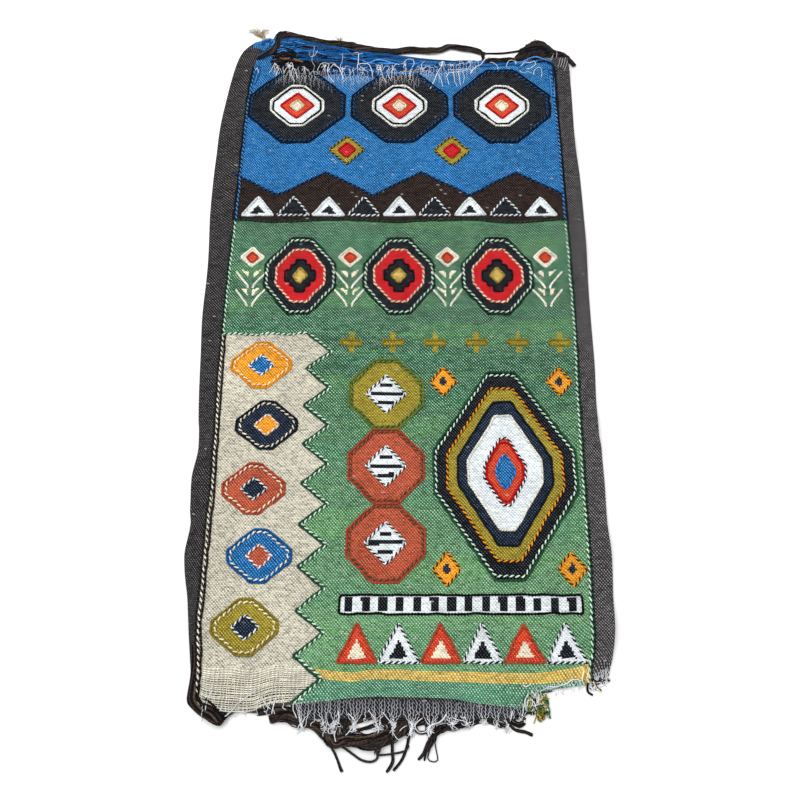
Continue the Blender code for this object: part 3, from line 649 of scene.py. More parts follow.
def paintCloth(mesh):
    count = len(mesh.polygons)
    x, y = (readMesh(mesh.polygons, "center", 3) - frameShift).T[:2]
    starts = readMesh(mesh.polygons, "loop_start", kind=np.int32)
    totals = np.diff(np.r_[starts, len(mesh.loops)])
    lay = readMesh(mesh.uv_layers["weaveLay"].data, "uv", 2)
    lay = np.add.reduceat(lay, starts, axis=0) / totals[:, None]
    column, row = lay[:, 0] * 2, lay[:, 1] - 0.5
    colour, spark, feel = (np.zeros((count, 3)) for _ in range(3))

    def paint(mask, wool, strength=0.75):
        ground, glint, heather = wools[wool]
        colour[mask], spark[mask] = linearColour(ground), linearColour(glint)
        feel[mask, 0], feel[mask, 1] = strength, heather

    def paintShapes(kept):
        for ring, wool in shapes:
            (left, foot), (right, top) = ring.min(axis=0), ring.max(axis=0)
            if kept(right, top):
                near = np.flatnonzero((x > left) & (x < right) & (y > foot) & (y < top))
                paint(near[insideRing(x[near], y[near], ring)], wool)

    paint(np.ones(count, dtype=bool), "green")
    # the green's dye lot changes every few passes, and now and then for a whole wedge of the field
    streaky = (np.sin(913 * y) + np.sin(371 * y + 9 * x) + 0.6 * np.sin(151 * y - 5 * x)) > 1.5
    lot = (np.sin(33 * y + 1.8 * np.sin(9 * x)) + 0.7 * np.sin(87 * y - 6 * x + 2)
           + 0.25 * np.sin(410 * y + 20 * x))
    lower = 0.7 * np.clip((-0.05 - y) / 0.4, 0, 1)[:, None]
    colour[:] = mixed(colour, linearColour("6a9d6c"), lower)
    spark[:] = mixed(spark, linearColour("c4e6c2"), lower)
    for which, hexText, share in ((streaky, "4c8a44", 0.40), (lot > 0.75, "5f9c43", 0.20),
                                  (lot < -0.85, "1c6a4a", 0.26)):
        colour[which] = mixed(colour[which], linearColour(hexText), share)
    paint(row > brownFoot, "brown")
    rise = peaks["rise"] * np.abs((x - peaks["left"]) / peaks["width"] % 2 - 1)
    paint(y > peaks["foot"] + rise, "blue")
    paintShapes(lambda right, top: True)
    for line, wool in ((yellowTop, "yellow"), (greenTop, "bandGreen"), (charcoalTop, "footCharcoal")):
        paint(row < line, wool, 0.9)
    # the cream panel with its own shapes, slack at its foot, darkened there towards umber: partly the dark
    # yarn behind it showing through, partly painted shadow between the slack rows
    panelTop, panelRight, slackTop = 0.003, -0.14, -0.500
    panel = (x < toothX(y)) & (y < panelTop)
    paint(panel, "cream")
    paintShapes(lambda right, top: right < panelRight and top < panelTop)
    under = panel & (y < slackTop)
    shadow = 0.92 * np.clip((slackTop - y) / 0.018, 0, 1)[:, None]
    colour[under] = mixed(colour, woolColour("umber"), shadow)[under]
    spark[under] = colour[under]
    borderColumns = clothShape["borderColumns"]
    outside = (column < borderColumns) | (column > columnCount - borderColumns)
    paint(outside, "charcoal")
    # painted light: the left border is darker, and the right one lighter towards its foot, where more light
    # falls
    paintedBorderLight = np.where(x < 0, 0.66, 1.12 - 0.6 * y)[outside][:, None]
    colour[outside] *= paintedBorderLight
    spark[outside] *= paintedBorderLight
    # warp shows more where the last rows are slack: at both ends and in the charcoal stripe
    slack = np.clip((y - readTable(topEdge, x) + 0.030) / 0.026, 0, 1) * ~outside
    feel[:, 2] = np.maximum(slack, 0.6 * ((row < charcoalTop) & ~panel & ~outside))
    # the two curled corners on the left
    paint((y > 0.572) & (x > -0.262) & (x < -0.2), "blue")
    paint((y < -0.548) & (x < -0.222), "brown")
    for name, values in (("yarn", colour), ("spark", spark), ("feel", feel)):
        setColours(mesh, name, values, "FACE")


def weaveCloth():
    bpy.ops.object.select_all(action="DESELECT")
    bpy.ops.mesh.primitive_grid_add(x_subdivisions=clothShape["coarseColumns"],
                                    y_subdivisions=clothShape["coarseRows"], size=1.0)
    cloth = bpy.context.active_object
    cloth.name = cloth.data.name = "wovenTapestry"
    depth = 0.01
    solid = cloth.modifiers.new("webThickness", "SOLIDIFY")
    solid.thickness = depth
    solid.offset = -1.0
    bpy.ops.object.modifier_apply(modifier=solid.name)
    mesh = cloth.data
    faceUp = readMesh(mesh.polygons, "normal", 3)[:, 2] > 0.5
    editMesh("DESELECT")
    mesh.polygons.foreach_set("select", faceUp)
    editMesh(None, bpy.ops.mesh.subdivide, number_cuts=clothShape["cuts"])
    # the flat web is now 1 by 1; each point moves to its warp and its row of weft
    flat = readMesh(mesh.vertices, "co", 3).astype(float)
    share = np.clip(flat[:, 0] + 0.5, 0, 1)
    row = (flat[:, 1] + 0.5) * rowCount
    nominalX = acrossX(share, np.interp(row, rowMarks, plainHeights))
    wanted = heightOfRow(row, nominalX)
    y = np.clip(wanted, endOfColumn(share, bottomEdge), endOfColumn(share, topEdge))
    x = acrossX(share, y)
    column = share * columnCount
    inner = (y == wanted) & (column > 0.5) & (column < columnCount - 0.5)
    pebble = clothShape["pebble"] * np.cos(np.pi * (np.round(column) + np.round(row))) * inner
    z = np.where(flat[:, 2] > -depth / 2, clothTop(x, y) + pebble, clothLift(x, y))
    mesh.vertices.foreach_set("co", (np.c_[x, y, z] + frameShift).astype(np.float32).ravel())
    rowNow = np.where(y == wanted, row, rowOfHeight(y, nominalX))
    while mesh.uv_layers:
        mesh.uv_layers.remove(mesh.uv_layers[0])
    lay = mesh.uv_layers.new(name="weaveLay")     # floats across, rows of weft along
    corner = readMesh(mesh.loops, "vertex_index", kind=np.int32)
    lay.data.foreach_set("uv", np.c_[column / 2, rowNow + 0.5][corner].astype(np.float32).ravel())
    editMesh("SELECT", bpy.ops.mesh.remove_doubles, threshold=clothShape["weld"])
    bpy.ops.object.shade_smooth_by_angle(angle=math.radians(50))
    return cloth


layDesign()
cloth = weaveCloth()
paintCloth(cloth.data)
finishPiece(cloth, clothWool, "wool_weave", "woven_cloth")


def twinedLine(points, closed, one, other, chance):
    # two yarns that wind round each other along a line on the cloth
    path = np.vstack([points, points[:1]]) if closed else points
    marks = np.r_[0, np.cumsum(np.linalg.norm(np.diff(path, axis=0), axis=1))]
    count = max(5, int(round(marks[-1] / twine["step"])))
    at = np.linspace(0, marks[-1], count + 1)
    line = np.c_[np.interp(at, marks, path[:, 0]), np.interp(at, marks, path[:, 1])]
    for _ in range(2):
        before = np.vstack([line[-2] if closed else line[0], line[:-1]])
        after = np.vstack([line[1:], line[1] if closed else line[-1]])
        line = 0.25 * before + 0.5 * line + 0.25 * after
    across = sideways(line)
    line = line + across * (twine["waver"] * smoothNoise(chance, len(line), max(2, count // 8)))[:, None]
    within = insideCloth(line[:, 0], line[:, 1])
    strands = []
    phase = 2 * np.pi * at / twine["turn"] + chance.uniform(0, 6)
    for k, name in enumerate((one, other)):
        x, y = (line + across * (twine["reach"] * np.cos(phase + k * np.pi))[:, None]).T
        up = clothTop(x, y) + twine["lift"] + twine["reach"] * np.sin(phase + k * np.pi)
        tone = streaks(chance, len(x), max(2, count // 5))
        # painted shade: the second yarn is darker where both yarns have one colour
        colour = tinted(chance, name, 0.06) * (twine["shade"] if k and one == other else 1.0) * tone
        places = np.c_[x, y, up] + frameShift
        for run in np.split(np.arange(len(x)), np.flatnonzero(np.diff(within.astype(int))) + 1):
            if within[run[0]] and len(run) > 4:
                radii = tapered(len(run), twine["radius"] * (1.0 if k else twine["fuller"]))
                strands.append((places[run], radii, colour[run]))
    return strands


def layRopes():
    chance = np.random.default_rng(8)
    halves = {"outlineRopesUpper": [], "outlineRopesLower": []}
    for points, closed, one, other in ropes:
        name = "outlineRopesUpper" if points[:, 1].mean() > -0.02 else "outlineRopesLower"
        halves[name] += twinedLine(points, closed, one, other, chance)
    for name, strands in halves.items():
        finishPiece(yarnTubes(name, strands, 0), outlineWool, "wool_weave")


layRopes()
print("stage: outlines laid")

# Each hank: node and slot, the floor under it, how its yarns lie, then x, y, width and height on its way.
hanks = {
    "topBlueWefts": dict(
        node="top_blue_wefts", slot="blue_yarn", floor=0.0018, seed=21, yarns=46, core=8, radius=0.0010,
        turns=0.15, wander=0.0013, ragged=6, colours="blue " * 6 + "sky " * 2 + "dusk " * 5 + "ink ink blend",
        route=[
            (-211, 575, 30, 5), (-200, 573, 42, 7), (-174, 569, 43, 9), (-142, 564, 38, 9),
            (-109, 559, 37, 8), (-69, 551.3, 37, 7), (-44, 547, 33, 7), (5, 542.5, 32, 6), (78, 539, 17, 5),
            (144, 546.2, 6, 3),
        ]),
    "topSlackWefts": dict(
        node="top_slack_wefts", slot="black_yarn", floor=0.0018, seed=20, yarns=34, core=6, radius=0.0010,
        turns=0.1, wander=0.0010, ragged=2, colours="soot soot ink black umber",
        route=[
            (-221.5, 544, 24, 4), (-212, 541, 32, 6), (-200, 536, 27, 6), (-174, 533.5, 25.5, 6),
            (-142, 531.5, 25, 6), (-109, 528.7, 21.5, 6), (-69, 524.7, 14, 6), (-44, 523.6, 11.5, 5),
            (-10, 522.2, 8, 5), (5, 522, 6, 4),
        ]),
    "topBrownHank": dict(
        node="top_brown_hank", slot="brown_yarn", floor=0.0, seed=22, yarns=34, core=6, radius=0.00095,
        turns=3.1, wander=0.0013, ragged=3,
        colours="brown " * 3 + "umber " * 4 + "charcoal " * 3 + "blend " * 3 + "slate",
        route=[
            (-256, 548, 8, 4), (-244, 558, 11, 5), (-230, 570, 12, 6), (-222, 586, 13, 8),
            (-220, 600.5, 11, 8), (-209, 607, 11, 8), (-192, 604, 12, 8), (-167.5, 597, 13, 8),
            (-142.5, 591, 13.5, 8), (-118, 586.8, 14, 8), (-93.5, 582.8, 13.5, 8), (-69, 576.8, 13, 8),
            (-44, 571.7, 13, 8), (-9, 568.7, 12.5, 8), (27, 572.7, 12, 8), (56, 571.8, 11, 8),
            (79, 574, 10, 7), (97, 581.8, 9, 7), (122.5, 577.2, 9, 6), (144, 571.2, 8, 6),
            (156, 565.5, 7, 4),
        ]),
    "topBrownBlock": dict(
        node="top_brown_block", slot="brown_yarn", floor=0.0, seed=23, yarns=18, core=4, radius=0.0010,
        turns=0.3, wander=0.0006, ragged=2, colours="brown umber charcoal",
        route=[
            (157, 546.5, 10, 4), (168, 547.5, 13.5, 5), (190, 548.5, 13.5, 5), (206, 550.5, 12, 5),
            (214, 552, 7, 4),
        ]),
    "rightCornerHank": dict(
        node="right_corner_hank", slot="brown_yarn", floor=0.0, seed=24, yarns=46, core=10, radius=0.0011,
        turns=0.8, wander=0.0012, step=0.0035, colours="brown umber umber charcoal",
        route=[
            (215, 554, 6, 4), (227, 558, 18, 7), (241, 565.5, 34, 9), (255, 571.2, 43, 11),
            (268, 568, 34, 11), (282, 563.5, 14, 9), (300, 560.5, 10, 6), (313, 551, 6, 4),
            (322, 538, 4, 3),
        ]),
    "bottomYarnBundle": dict(
        node="bottom_yarn_bundle", slot="charcoal_yarn", floor=0.0, seed=25, yarns=40, core=4, radius=0.0008,
        turns=1.6, wander=0.0018, ragged=4,
        colours="umber " * 3 + "charcoal " * 4 + "brown " * 3 + "blend " * 2,
        route=[
            (-172, -564.5, 4, 3), (-162, -562, 12, 6), (-150, -560, 18, 7), (-137, -566.2, 10, 7),
            (-122, -570.5, 9, 7), (-106, -575, 10, 8), (-95, -585, 12, 8), (-84, -592, 12, 9),
            (-60, -592, 13, 9), (-35, -594, 16, 9), (-12, -589, 14, 8), (4, -581.5, 11, 7),
            (15, -577, 10, 6), (28, -578, 6, 4),
        ]),
    "bottomRightBundle": dict(
        node="bottom_right_bundle", slot="charcoal_yarn", floor=0.0, seed=26, yarns=14, core=3, radius=0.0009,
        turns=0.9, wander=0.0009, ragged=2, step=0.0035, colours="charcoal brown umber",
        route=[
            (100, -571, 5, 3), (90, -572.5, 9, 5), (72, -575.2, 10, 6), (56, -579, 10, 6),
            (49, -587, 10, 6), (44, -596, 8, 5), (38.5, -606, 5, 3.5), (29, -616, 3, 2.5),
        ]),
    "tornCornerRag": dict(
        node="torn_corner_rag", slot="gold_yarn", floor=0.0, seed=27, yarns=26, core=3, radius=0.0008,
        turns=0.8, wander=0.0018, ragged=4, step=0.003, colours="olive moss bandGreen yellow pine warm soot",
        route=[
            (199, -532.2, 8, 3), (198.5, -542, 13, 4), (196.5, -552, 15, 5), (196, -561, 11, 4),
            (199, -566.5, 5, 3),
        ]),
}
# how high the yarns laid so far reach, in cells over the whole piece
pileGrid = {"cell": 0.00125, "left": -0.35, "foot": -0.66, "top": 0.0125}
pile = np.zeros((560, 1060))


def pileCells(x, y):
    starts = pileGrid["left"], pileGrid["foot"]
    return tuple(np.clip(((at - start) / pileGrid["cell"]).astype(int), 1, size - 2)
                 for at, start, size in zip((x, y), starts, pile.shape))


def pileUp(strands):
    for points, radii, colour in strands:
        marks = np.arange(len(points))
        x, y, top = (np.interp(np.arange(0, marks[-1], 0.25), marks, column)
                     for column in (*(points - frameShift).T[:2], points[:, 2] + 0.5 * radii))
        i, j = pileCells(x, y)
        for di, dj in ((0, 0), (1, 0), (-1, 0), (0, 1), (0, -1)):
            np.maximum.at(pile, (i + di, j + dj), np.minimum(top, pileGrid["top"]))


def softened(height):
    # the mean of five points along a yarn
    return np.convolve(np.pad(height, 2, mode="edge"), np.ones(5) / 5, mode="valid")


def clothOrFloor(x, y):
    return np.where(insideCloth(x, y), clothTop(x, y), 0.0)


def restHeight(x, y):
    # what a yarn rests on: the cloth, the yarns laid before it or the floor
    height = np.maximum(clothOrFloor(x, y), pile[pileCells(x, y)])
    return np.maximum(softened(height), 0.8 * height)


def hankStrands(name, hank):
    # yarns round a shell of the hank's form, over a few thicker ones that fill its middle
    chance = np.random.default_rng(hank["seed"])
    rows, across = smoothRoute(metres(hank["route"]), hank.get("step", 0.0045))
    centre, width, height = rows[:, :2], rows[:, 2], rows[:, 3]
    n = len(centre)
    t = np.linspace(0, 1, n)
    # the brown hank crosses a corner of the cloth and then lies on the floor
    base = softened(clothOrFloor(*centre.T)) if name == "topBrownHank" else np.full(n, hank["floor"])
    goldenAngle = 2.39996      # spreads the yarns evenly round the hank
    colours = hank["colours"].split()
    strands = []
    for j in range(hank["yarns"] + hank["core"]):
        core = j >= hank["yarns"]
        radius = hank["radius"] * (1.7 if core else 1 + 0.2 * chance.normal())
        reach = 0.45 if core else 0.78 + 0.24 * chance.random()
        angle = goldenAngle * j + hank["turns"] * 2 * np.pi * t + 0.6 * smoothNoise(chance, n, 8)
        side = reach * np.cos(angle) * np.maximum(width / 2 - radius * 0.6, 0)
        up = base + radius + (0.5 + 0.5 * reach * np.sin(angle)) * np.maximum(height - 2 * radius, 0)
        side = side + hank["wander"] * smoothNoise(chance, n, 11)
        up = np.maximum(up + 0.4 * hank["wander"] * smoothNoise(chance, n, 11), base + radius)
        points = np.c_[centre + across * side[:, None], up] + frameShift
        first, final = 0, n
        if not core and "ragged" in hank:
            first, final = int(chance.integers(hank["ragged"])), n - int(chance.integers(hank["ragged"]))
        radii = np.full(n, radius) * np.clip(np.maximum(width, 2.2 * radius) / (hank["radius"] * 6), 0.45, 1)
        radii = radii[first:final].copy()
        radii[0] *= 0.5
        radii[-1] *= 0.4
        colour = colours[int(chance.integers(len(colours)))]
        tone = streaks(chance, n, 12, 0.18, 0.5, 1.6)
        strands.append((points[first:final], radii, (tinted(chance, colour) * tone)[first:final]))
    return strands


def bandOf(chance, count, spread, radius, names, *places, lump=False, step=0.003):
    # a few yarns side by side through given places, resting on what lies under them; all sizes in mm
    spread, radius, names = spread / 1000, radius / 1000, names.split()
    strands = []
    for k in range(count):
        rows, across = smoothRoute(metres(places), step)
        n = len(rows)
        side = spread * ((k + 0.5) / count - 0.5) + 0.12 * spread * smoothNoise(chance, n, 5)
        x, y = (rows + across * side[:, None]).T
        own = radius * (1 + 0.12 * chance.normal())
        up = restHeight(x, y) + own * 0.8
        radii = tapered(n, own)
        if lump:
            radii *= np.sqrt(np.sin(np.pi * np.linspace(0.06, 0.94, n)))
        tone = streaks(chance, n, 6, 0.12, 0.6, 1.5)
        colour = tinted(chance, names[k % len(names)], 0.1) * tone
        strands.append((np.c_[x, y, up] + frameShift, radii, colour))
    return strands


# Single yarns of each piece: how many side by side, their spread and radius, colours, then places, all in mm.
darkMix, brownMix = "umber brown charcoal soot", "brown umber blend charcoal"
singleYarns = {
    "topSlackWefts": [
        (2, 2, 1, "soot ink", (-217, 555), (-205, 553), (-189, 558), (-201, 563), (-215, 560)),
        (2, 2, 0.9, "soot dusk", (-190, 545), (-184, 552), (-168, 554), (-156, 552)),
        (6, 12, 1, "soot ink soot umber", (-230, 560), (-217, 562), (-203, 561), (-185, 557)),
        (6, 14, 1, "soot soot ink umber", (-229, 541), (-213, 543), (-196, 545), (-180, 543)),
        (2, 3, 0.9, "soot ink", (-214, 576), (-204, 572), (-191, 566), (-185, 558), (-192, 549),
         (-203, 546), (-214, 546)),
        (3, 5, 1, "blue dusk sky", (-219, 565), (-209, 568), (-199, 564)),
    ],
    "topBrownHank": [
        (3, 5, 0.9, "slate dusk brown", (-253, 550), (-240, 560), (-228, 576), (-223, 594), (-221, 608),
         (-214, 613), (-203, 612)),
        (3, 3, 1, "umber brown", (150, 569), (160, 567), (168, 567), (195, 568), (224, 573), (240, 576)),
        (2, 2, 0.8, "slate dusk", (-90, 590), (-80, 592), (-74, 588)),
    ],
    "topBlueWefts": [
        (6, 10, 1, "blue sky dusk", (-221, 596), (-209, 594), (-190, 590), (-167, 583)),
        (5, 9, 1, "dusk blue ink", (-222, 603), (-207, 602), (-186, 597), (-160, 588), (-138, 582)),
        (7, 13, 1, "blue dusk blue sky", (-225, 582), (-216, 584), (-204, 580), (-185, 576)),
        (5, 10, 1, "sky blue ink", (-225, 569), (-213, 570), (-204, 568), (-193, 563)),
        (5, 10, 1, "blue dusk ink", (-229, 543), (-224, 552), (-214, 556), (-203, 554)),
    ],
    "topBrownBlock": [
        (4, 6, 1.1, "umber brown", (157, 568), (157, 560), (157, 549)),
    ],
    "rightCornerHank": [
        (5, 8, 1, "soot ink umber", (224, 561), (235, 567), (252, 570), (268, 569), (277, 562)),
        (5, 6, 1, "brown umber charcoal", (224, 573), (242, 577), (262, 579), (282, 574), (300, 564),
         (313, 551), (323, 537)),
        (5, 13, 0.6, "warm tan blend", (256, 589), (257, 594), (259, 599)),
    ],
    "bottomYarnBundle": [
        (7, 8, 0.9, darkMix, (-102, -567), (-86, -568), (-71, -568), (-56, -566), (-42, -563), (-32, -561)),
        (4, 5, 0.9, brownMix, (-77, -571), (-62, -570), (-45, -566), (-31, -563), (-15, -563)),
        (3, 4.2, 1, darkMix, (-68, -583), (-53, -580), (-40, -576), (-26, -571), (-12, -567)),
        (9, 11, 1, brownMix, (-99, -567), (-96, -576), (-91, -586), (-86, -594)),
        (16, 20, 1, darkMix, (-72, -567), (-71, -574), (-71, -581), (-69, -588)),
        (9, 12, 1, brownMix, (-22, -563), (-15, -568), (-11, -576), (-15, -583), (-26, -588)),
        (9, 12, 1, darkMix, (-7, -563), (-4, -573), (-6, -581), (-12, -587)),
        (9, 12, 1, brownMix, (6, -564), (11, -571), (15, -578), (14, -586)),
        (5, 8, 0.9, darkMix, (-20, -564), (2, -566), (21, -566), (43, -564), (60, -564)),
        (3, 4.2, 1, brownMix, (26, -573), (28, -581), (36, -583), (43, -580), (46, -573), (51, -568)),
        (6, 9, 1, darkMix, (26, -571), (36, -569), (43, -571), (44, -578), (47, -586)),
        (3, 5, 1, brownMix, (47, -567), (51, -576), (52, -586), (50, -594)),
        (6, 7, 0.9, "umber brown charcoal blend", (-78, -588), (-67, -587), (-53, -587), (-39, -587),
         (-26, -584), (-12, -578)),
        (6, 7, 1, "umber brown charcoal umber blend soot", (-189, -558), (-180, -556), (-168, -554),
         (-155, -553), (-144, -553), (-136, -555)),
        (2, 3, 1.2, "charcoal brown", (-91, -592), (-83, -606), (-76, -620), (-72, -631)),
        (1, 0, 1.3, "charcoal", (-74, -598), (-59, -608), (-46, -616), (-33, -618), (-25, -613),
         (-27, -601)),
        (2, 3, 1.2, "charcoal brown", (-6, -590), (-5, -606), (-5, -618), (-13, -631)),
        (2, 3, 1.2, "charcoal brown", (18, -579), (15, -598), (8, -615), (-4, -629)),
        (1, 0, 1.2, "charcoal", (-26, -610), (-10, -609), (11, -605), (17, -598)),
        (3, 6, 1.2, "charcoal umber", (-30, -592), (-22, -598), (-27, -610)),
    ],
    "bottomRightBundle": [
        (6, 8, 1, "charcoal umber brown", (92, -573), (108, -568), (124, -567), (139, -571), (151, -577)),
        (1, 0, 1, "charcoal", (48, -588), (45, -602), (42, -614), (48, -618), (55, -616), (53, -603),
         (50, -586)),
        (2, 2, 1, "charcoal brown", (44, -596), (40, -606), (37, -617)),
    ],
    "tornCornerRag": [
        (3, 4, 1.1, "bandGreen moss pine", (195, -531), (198, -540), (204, -550), (206, -561)),
        (5, 8, 0.9, "bandGreen mint bandGreen pine green", (181, -532), (177, -541), (175, -550),
         (176, -557)),
        (5, 9, 0.9, "bandGreen moss green mint pine", (183, -531), (189, -536), (194, -544), (192, -552)),
        (3, 5, 0.8, "green bandGreen moss", (178, -535), (184, -541), (185, -548), (181, -554)),
        (3, 4, 0.9, "soot olive moss", (188, -553), (194, -548), (198, -553), (195, -560)),
        (2, 3, 1, "brown umber", (171, -559), (179, -557), (187, -559)),
        (3, 5, 1.1, "yellow warm warm", (193, -532), (195, -540), (191, -548)),
        (1, 0, 0.8, "warp", (193, -534), (193, -544), (202, -551), (206, -558), (204, -564)),
        (2, 3, 0.7, "warp soot", (188, -536), (190, -543), (187, -550), (190, -556)),
        (2, 3, 0.9, "soot moss", (192, -556), (199, -560), (205, -557), (208, -565)),
    ],
    "cornerYarns": [
        (7, 11, 1.1, "blue sky blue dusk blue sky", (218, 535), (231, 543), (248, 549), (263, 548),
         (274, 541), (279, 529), (279, 508), (278, 466)),
        (2, 4, 1.2, "ink soot", (254, 545), (271, 544), (283, 531), (285, 499), (285, 446)),
        (5, 9, 1.1, "blue sky blue dusk", (-249, 583), (-246, 591), (-239, 596), (-232, 594), (-229, 586),
         (-233, 577)),
        (4, 7, 1, "blue dusk sky", (-256, 540), (-250, 530), (-252, 515), (-257, 495)),
    ],
    "footYarns": [
        (3, 5.5, 1.4, "soot umber brown", (-279, -470), (-279, -505), (-281, -530), (-280, -543),
         (-268, -555), (-253, -564), (-241, -571)),
        (4, 9, 1.4, "brown soot blend brown", (-271, -520), (-273, -538), (-264, -549), (-250, -558),
         (-238, -568)),
        (4, 10, 1.4, "soot brown umber soot", (-262, -545), (-250, -552), (-238, -560), (-232, -566)),
        (1, 0, 1.7, "mint", (-134, -541), (-130, -540), (-126, -541)),
    ],
    "bottomRightWarpEnds": [
        (3, 4, 1.1, "brown umber", (150, -564), (154, -574), (163, -580), (173, -582), (183, -586)),
        (5, 8, 1.2, "brown umber soot", (154, -567), (160, -571), (168, -572), (173, -569)),
        (2, 3, 1, "brown umber", (160, -562), (168, -563), (175, -566)),
    ],
    "borderEnds": [
        (2, 2, 1.3, "soot black", (265, -513), (261, -524), (262, -532), (268, -535)),
        (2, 3, 1.1, "soot warm", (270, -516), (274, -526), (280, -530)),
        (6, 8, 1.2, "yellow warm olive yellow", (258, -496), (261, -505), (258, -513), (261, -521)),
        (4, 6, 1, "yellow yellow warm", (264, -497), (261, -504), (265, -510), (261, -517)),
        (3, 5, 0.9, "soot warp charcoal", (266, -516), (272, -520), (280, -518), (286, -513)),
        (1, 0, 1.6, "umber", (265, -500), (264, -507)),
    ],
    "tornStepEnds": [
        (2, 3, 0.9, "bandGreen pine", (192, -533), (200, -531), (214, -529)),
    ],
}


def singleBands(chance, name):
    return [strand for band in singleYarns.get(name, ()) for strand in bandOf(chance, *band)]


def curlFrom(chance, start, heading, length, bend):
    # a kinked thread that wanders and turns back on itself
    step = 0.0012
    n = max(5, int(length / step))
    turning = bend * chance.choice([-1, 1]) * (0.2 + 0.8 * chance.random())
    angle = heading + np.cumsum(turning + bend * smoothNoise(chance, n, max(2, n // 3))) * step
    return start + np.cumsum(np.c_[np.cos(angle), np.sin(angle)] * step, axis=0)


def laid(chance, line, radius, sink=False, name="warp"):
    # a thread that rests on what is under it, with its start down in the cloth if it has to sink
    n = len(line)
    up = restHeight(line[:, 0], line[:, 1]) + radius * 0.9
    up = up + 0.0012 * chance.random() * np.sin(np.linspace(0, np.pi, n)) ** 2
    if sink:
        up[0] -= radius * 1.8
    radii = np.full(n, radius)
    radii[-1] *= 0.5
    return np.c_[line, up] + frameShift, radii, tinted(chance, name, 0.05)


def blackToBlue(strands, chance):
    # the slack wefts are black beside the left corner and blue from there on
    for k, (points, radii, colour) in enumerate(strands):
        share = np.clip((points[:, 0] + 0.125 + 0.02 * chance.normal()) / 0.03, 0, 1)[:, None]
        blue = tinted(chance, ("blue", "dusk", "dusk", "sky")[int(chance.integers(4))])
        strands[k] = (points, radii, mixed(colour, blue, share))


rag = {"ends": 22, "middle": (0.1905, -0.546), "spread": (0.0055, 0.009), "bend": 190, "radius": 0.0007}


def ragEnds(chance):
    # short curled ends of the torn corner's wool
    strands = []
    for k in range(rag["ends"]):
        start = np.array(rag["middle"]) + np.array(rag["spread"]) * chance.normal(size=2)
        curl = curlFrom(chance, start, chance.uniform(3.2, 6.2), chance.uniform(0.008, 0.015), rag["bend"])
        colour = ("moss", "olive", "warm", "pine", "yellow", "warp")[k % 6]
        strands.append(laid(chance, curl, rag["radius"], name=colour))
    return strands


for name, hank in hanks.items():
    chance = np.random.default_rng(hank["seed"] + 100)
    strands = hankStrands(name, hank)
    if name == "topSlackWefts":
        blackToBlue(strands, chance)
    pileUp(strands)
    for band in singleYarns.get(name, ()):
        yarns = bandOf(chance, *band)
        pileUp(yarns)
        strands += yarns
    if name == "topSlackWefts":
        for places in ([(-214, 550), (-205, 547), (-194, 547)], [(-189, 547), (-179, 545), (-170, 542)]):
            strands += bandOf(chance, 2, 3, 1.6, "blend amber", *places, lump=True)
    if name == "tornCornerRag":
        strands += ragEnds(chance)
    finishPiece(yarnTubes(name, strands), looseWool, hank["slot"], hank["node"])
print("stage: loose yarns laid")


def layCornerYarns():
    chance = np.random.default_rng(45)
    strands = []
    # the last passes of weft lie slack along the woven edge: from, to, beyond the edge, spread, colours
    for left, right, out, spread, names in (
            (-226, -128, 2.6, 8.5, "soot ink umber soot"), (-132, -30, 2.6, 8.5, "dusk blue blue sky"),
            (-40, 60, 2.6, 8.5, "blue dusk sky blue"), (50, 160, 1.4, 7.5, "blue sky dusk blue"),
            (140, 236, -4.0, 6, "blue blue sky dusk")):
        x = np.linspace(left, right, 7)
        places = np.c_[x, 1000 * readTable(topEdge, x / 1000) + out]
        strands += bandOf(chance, 5, spread, 1.1, names, *places, step=0.006)
    strands += singleBands(chance, "cornerYarns")
    pileUp(strands)
    finishPiece(yarnTubes("cornerYarns", strands), looseWool, "blue_yarn")


slackRows = {
    "count": 19, "radius": 0.00112, "top": -0.4985, "left": -0.272, "right": -0.104, "step": 0.0022,
    "warpRadius": 0.00048, "warpTop": -0.499, "warpLeft": -0.268, "warpRight": -0.114, "warpApart": 0.0047,
    "warpStep": 0.0016, "seed": 51,
}
slackFoot = metres([
    (-276, -541), (-258, -552), (-239, -556), (-224, -557.5), (-205, -557.5), (-194, -556.5), (-183, -552),
    (-166, -547), (-142, -545), (-100, -544),
])


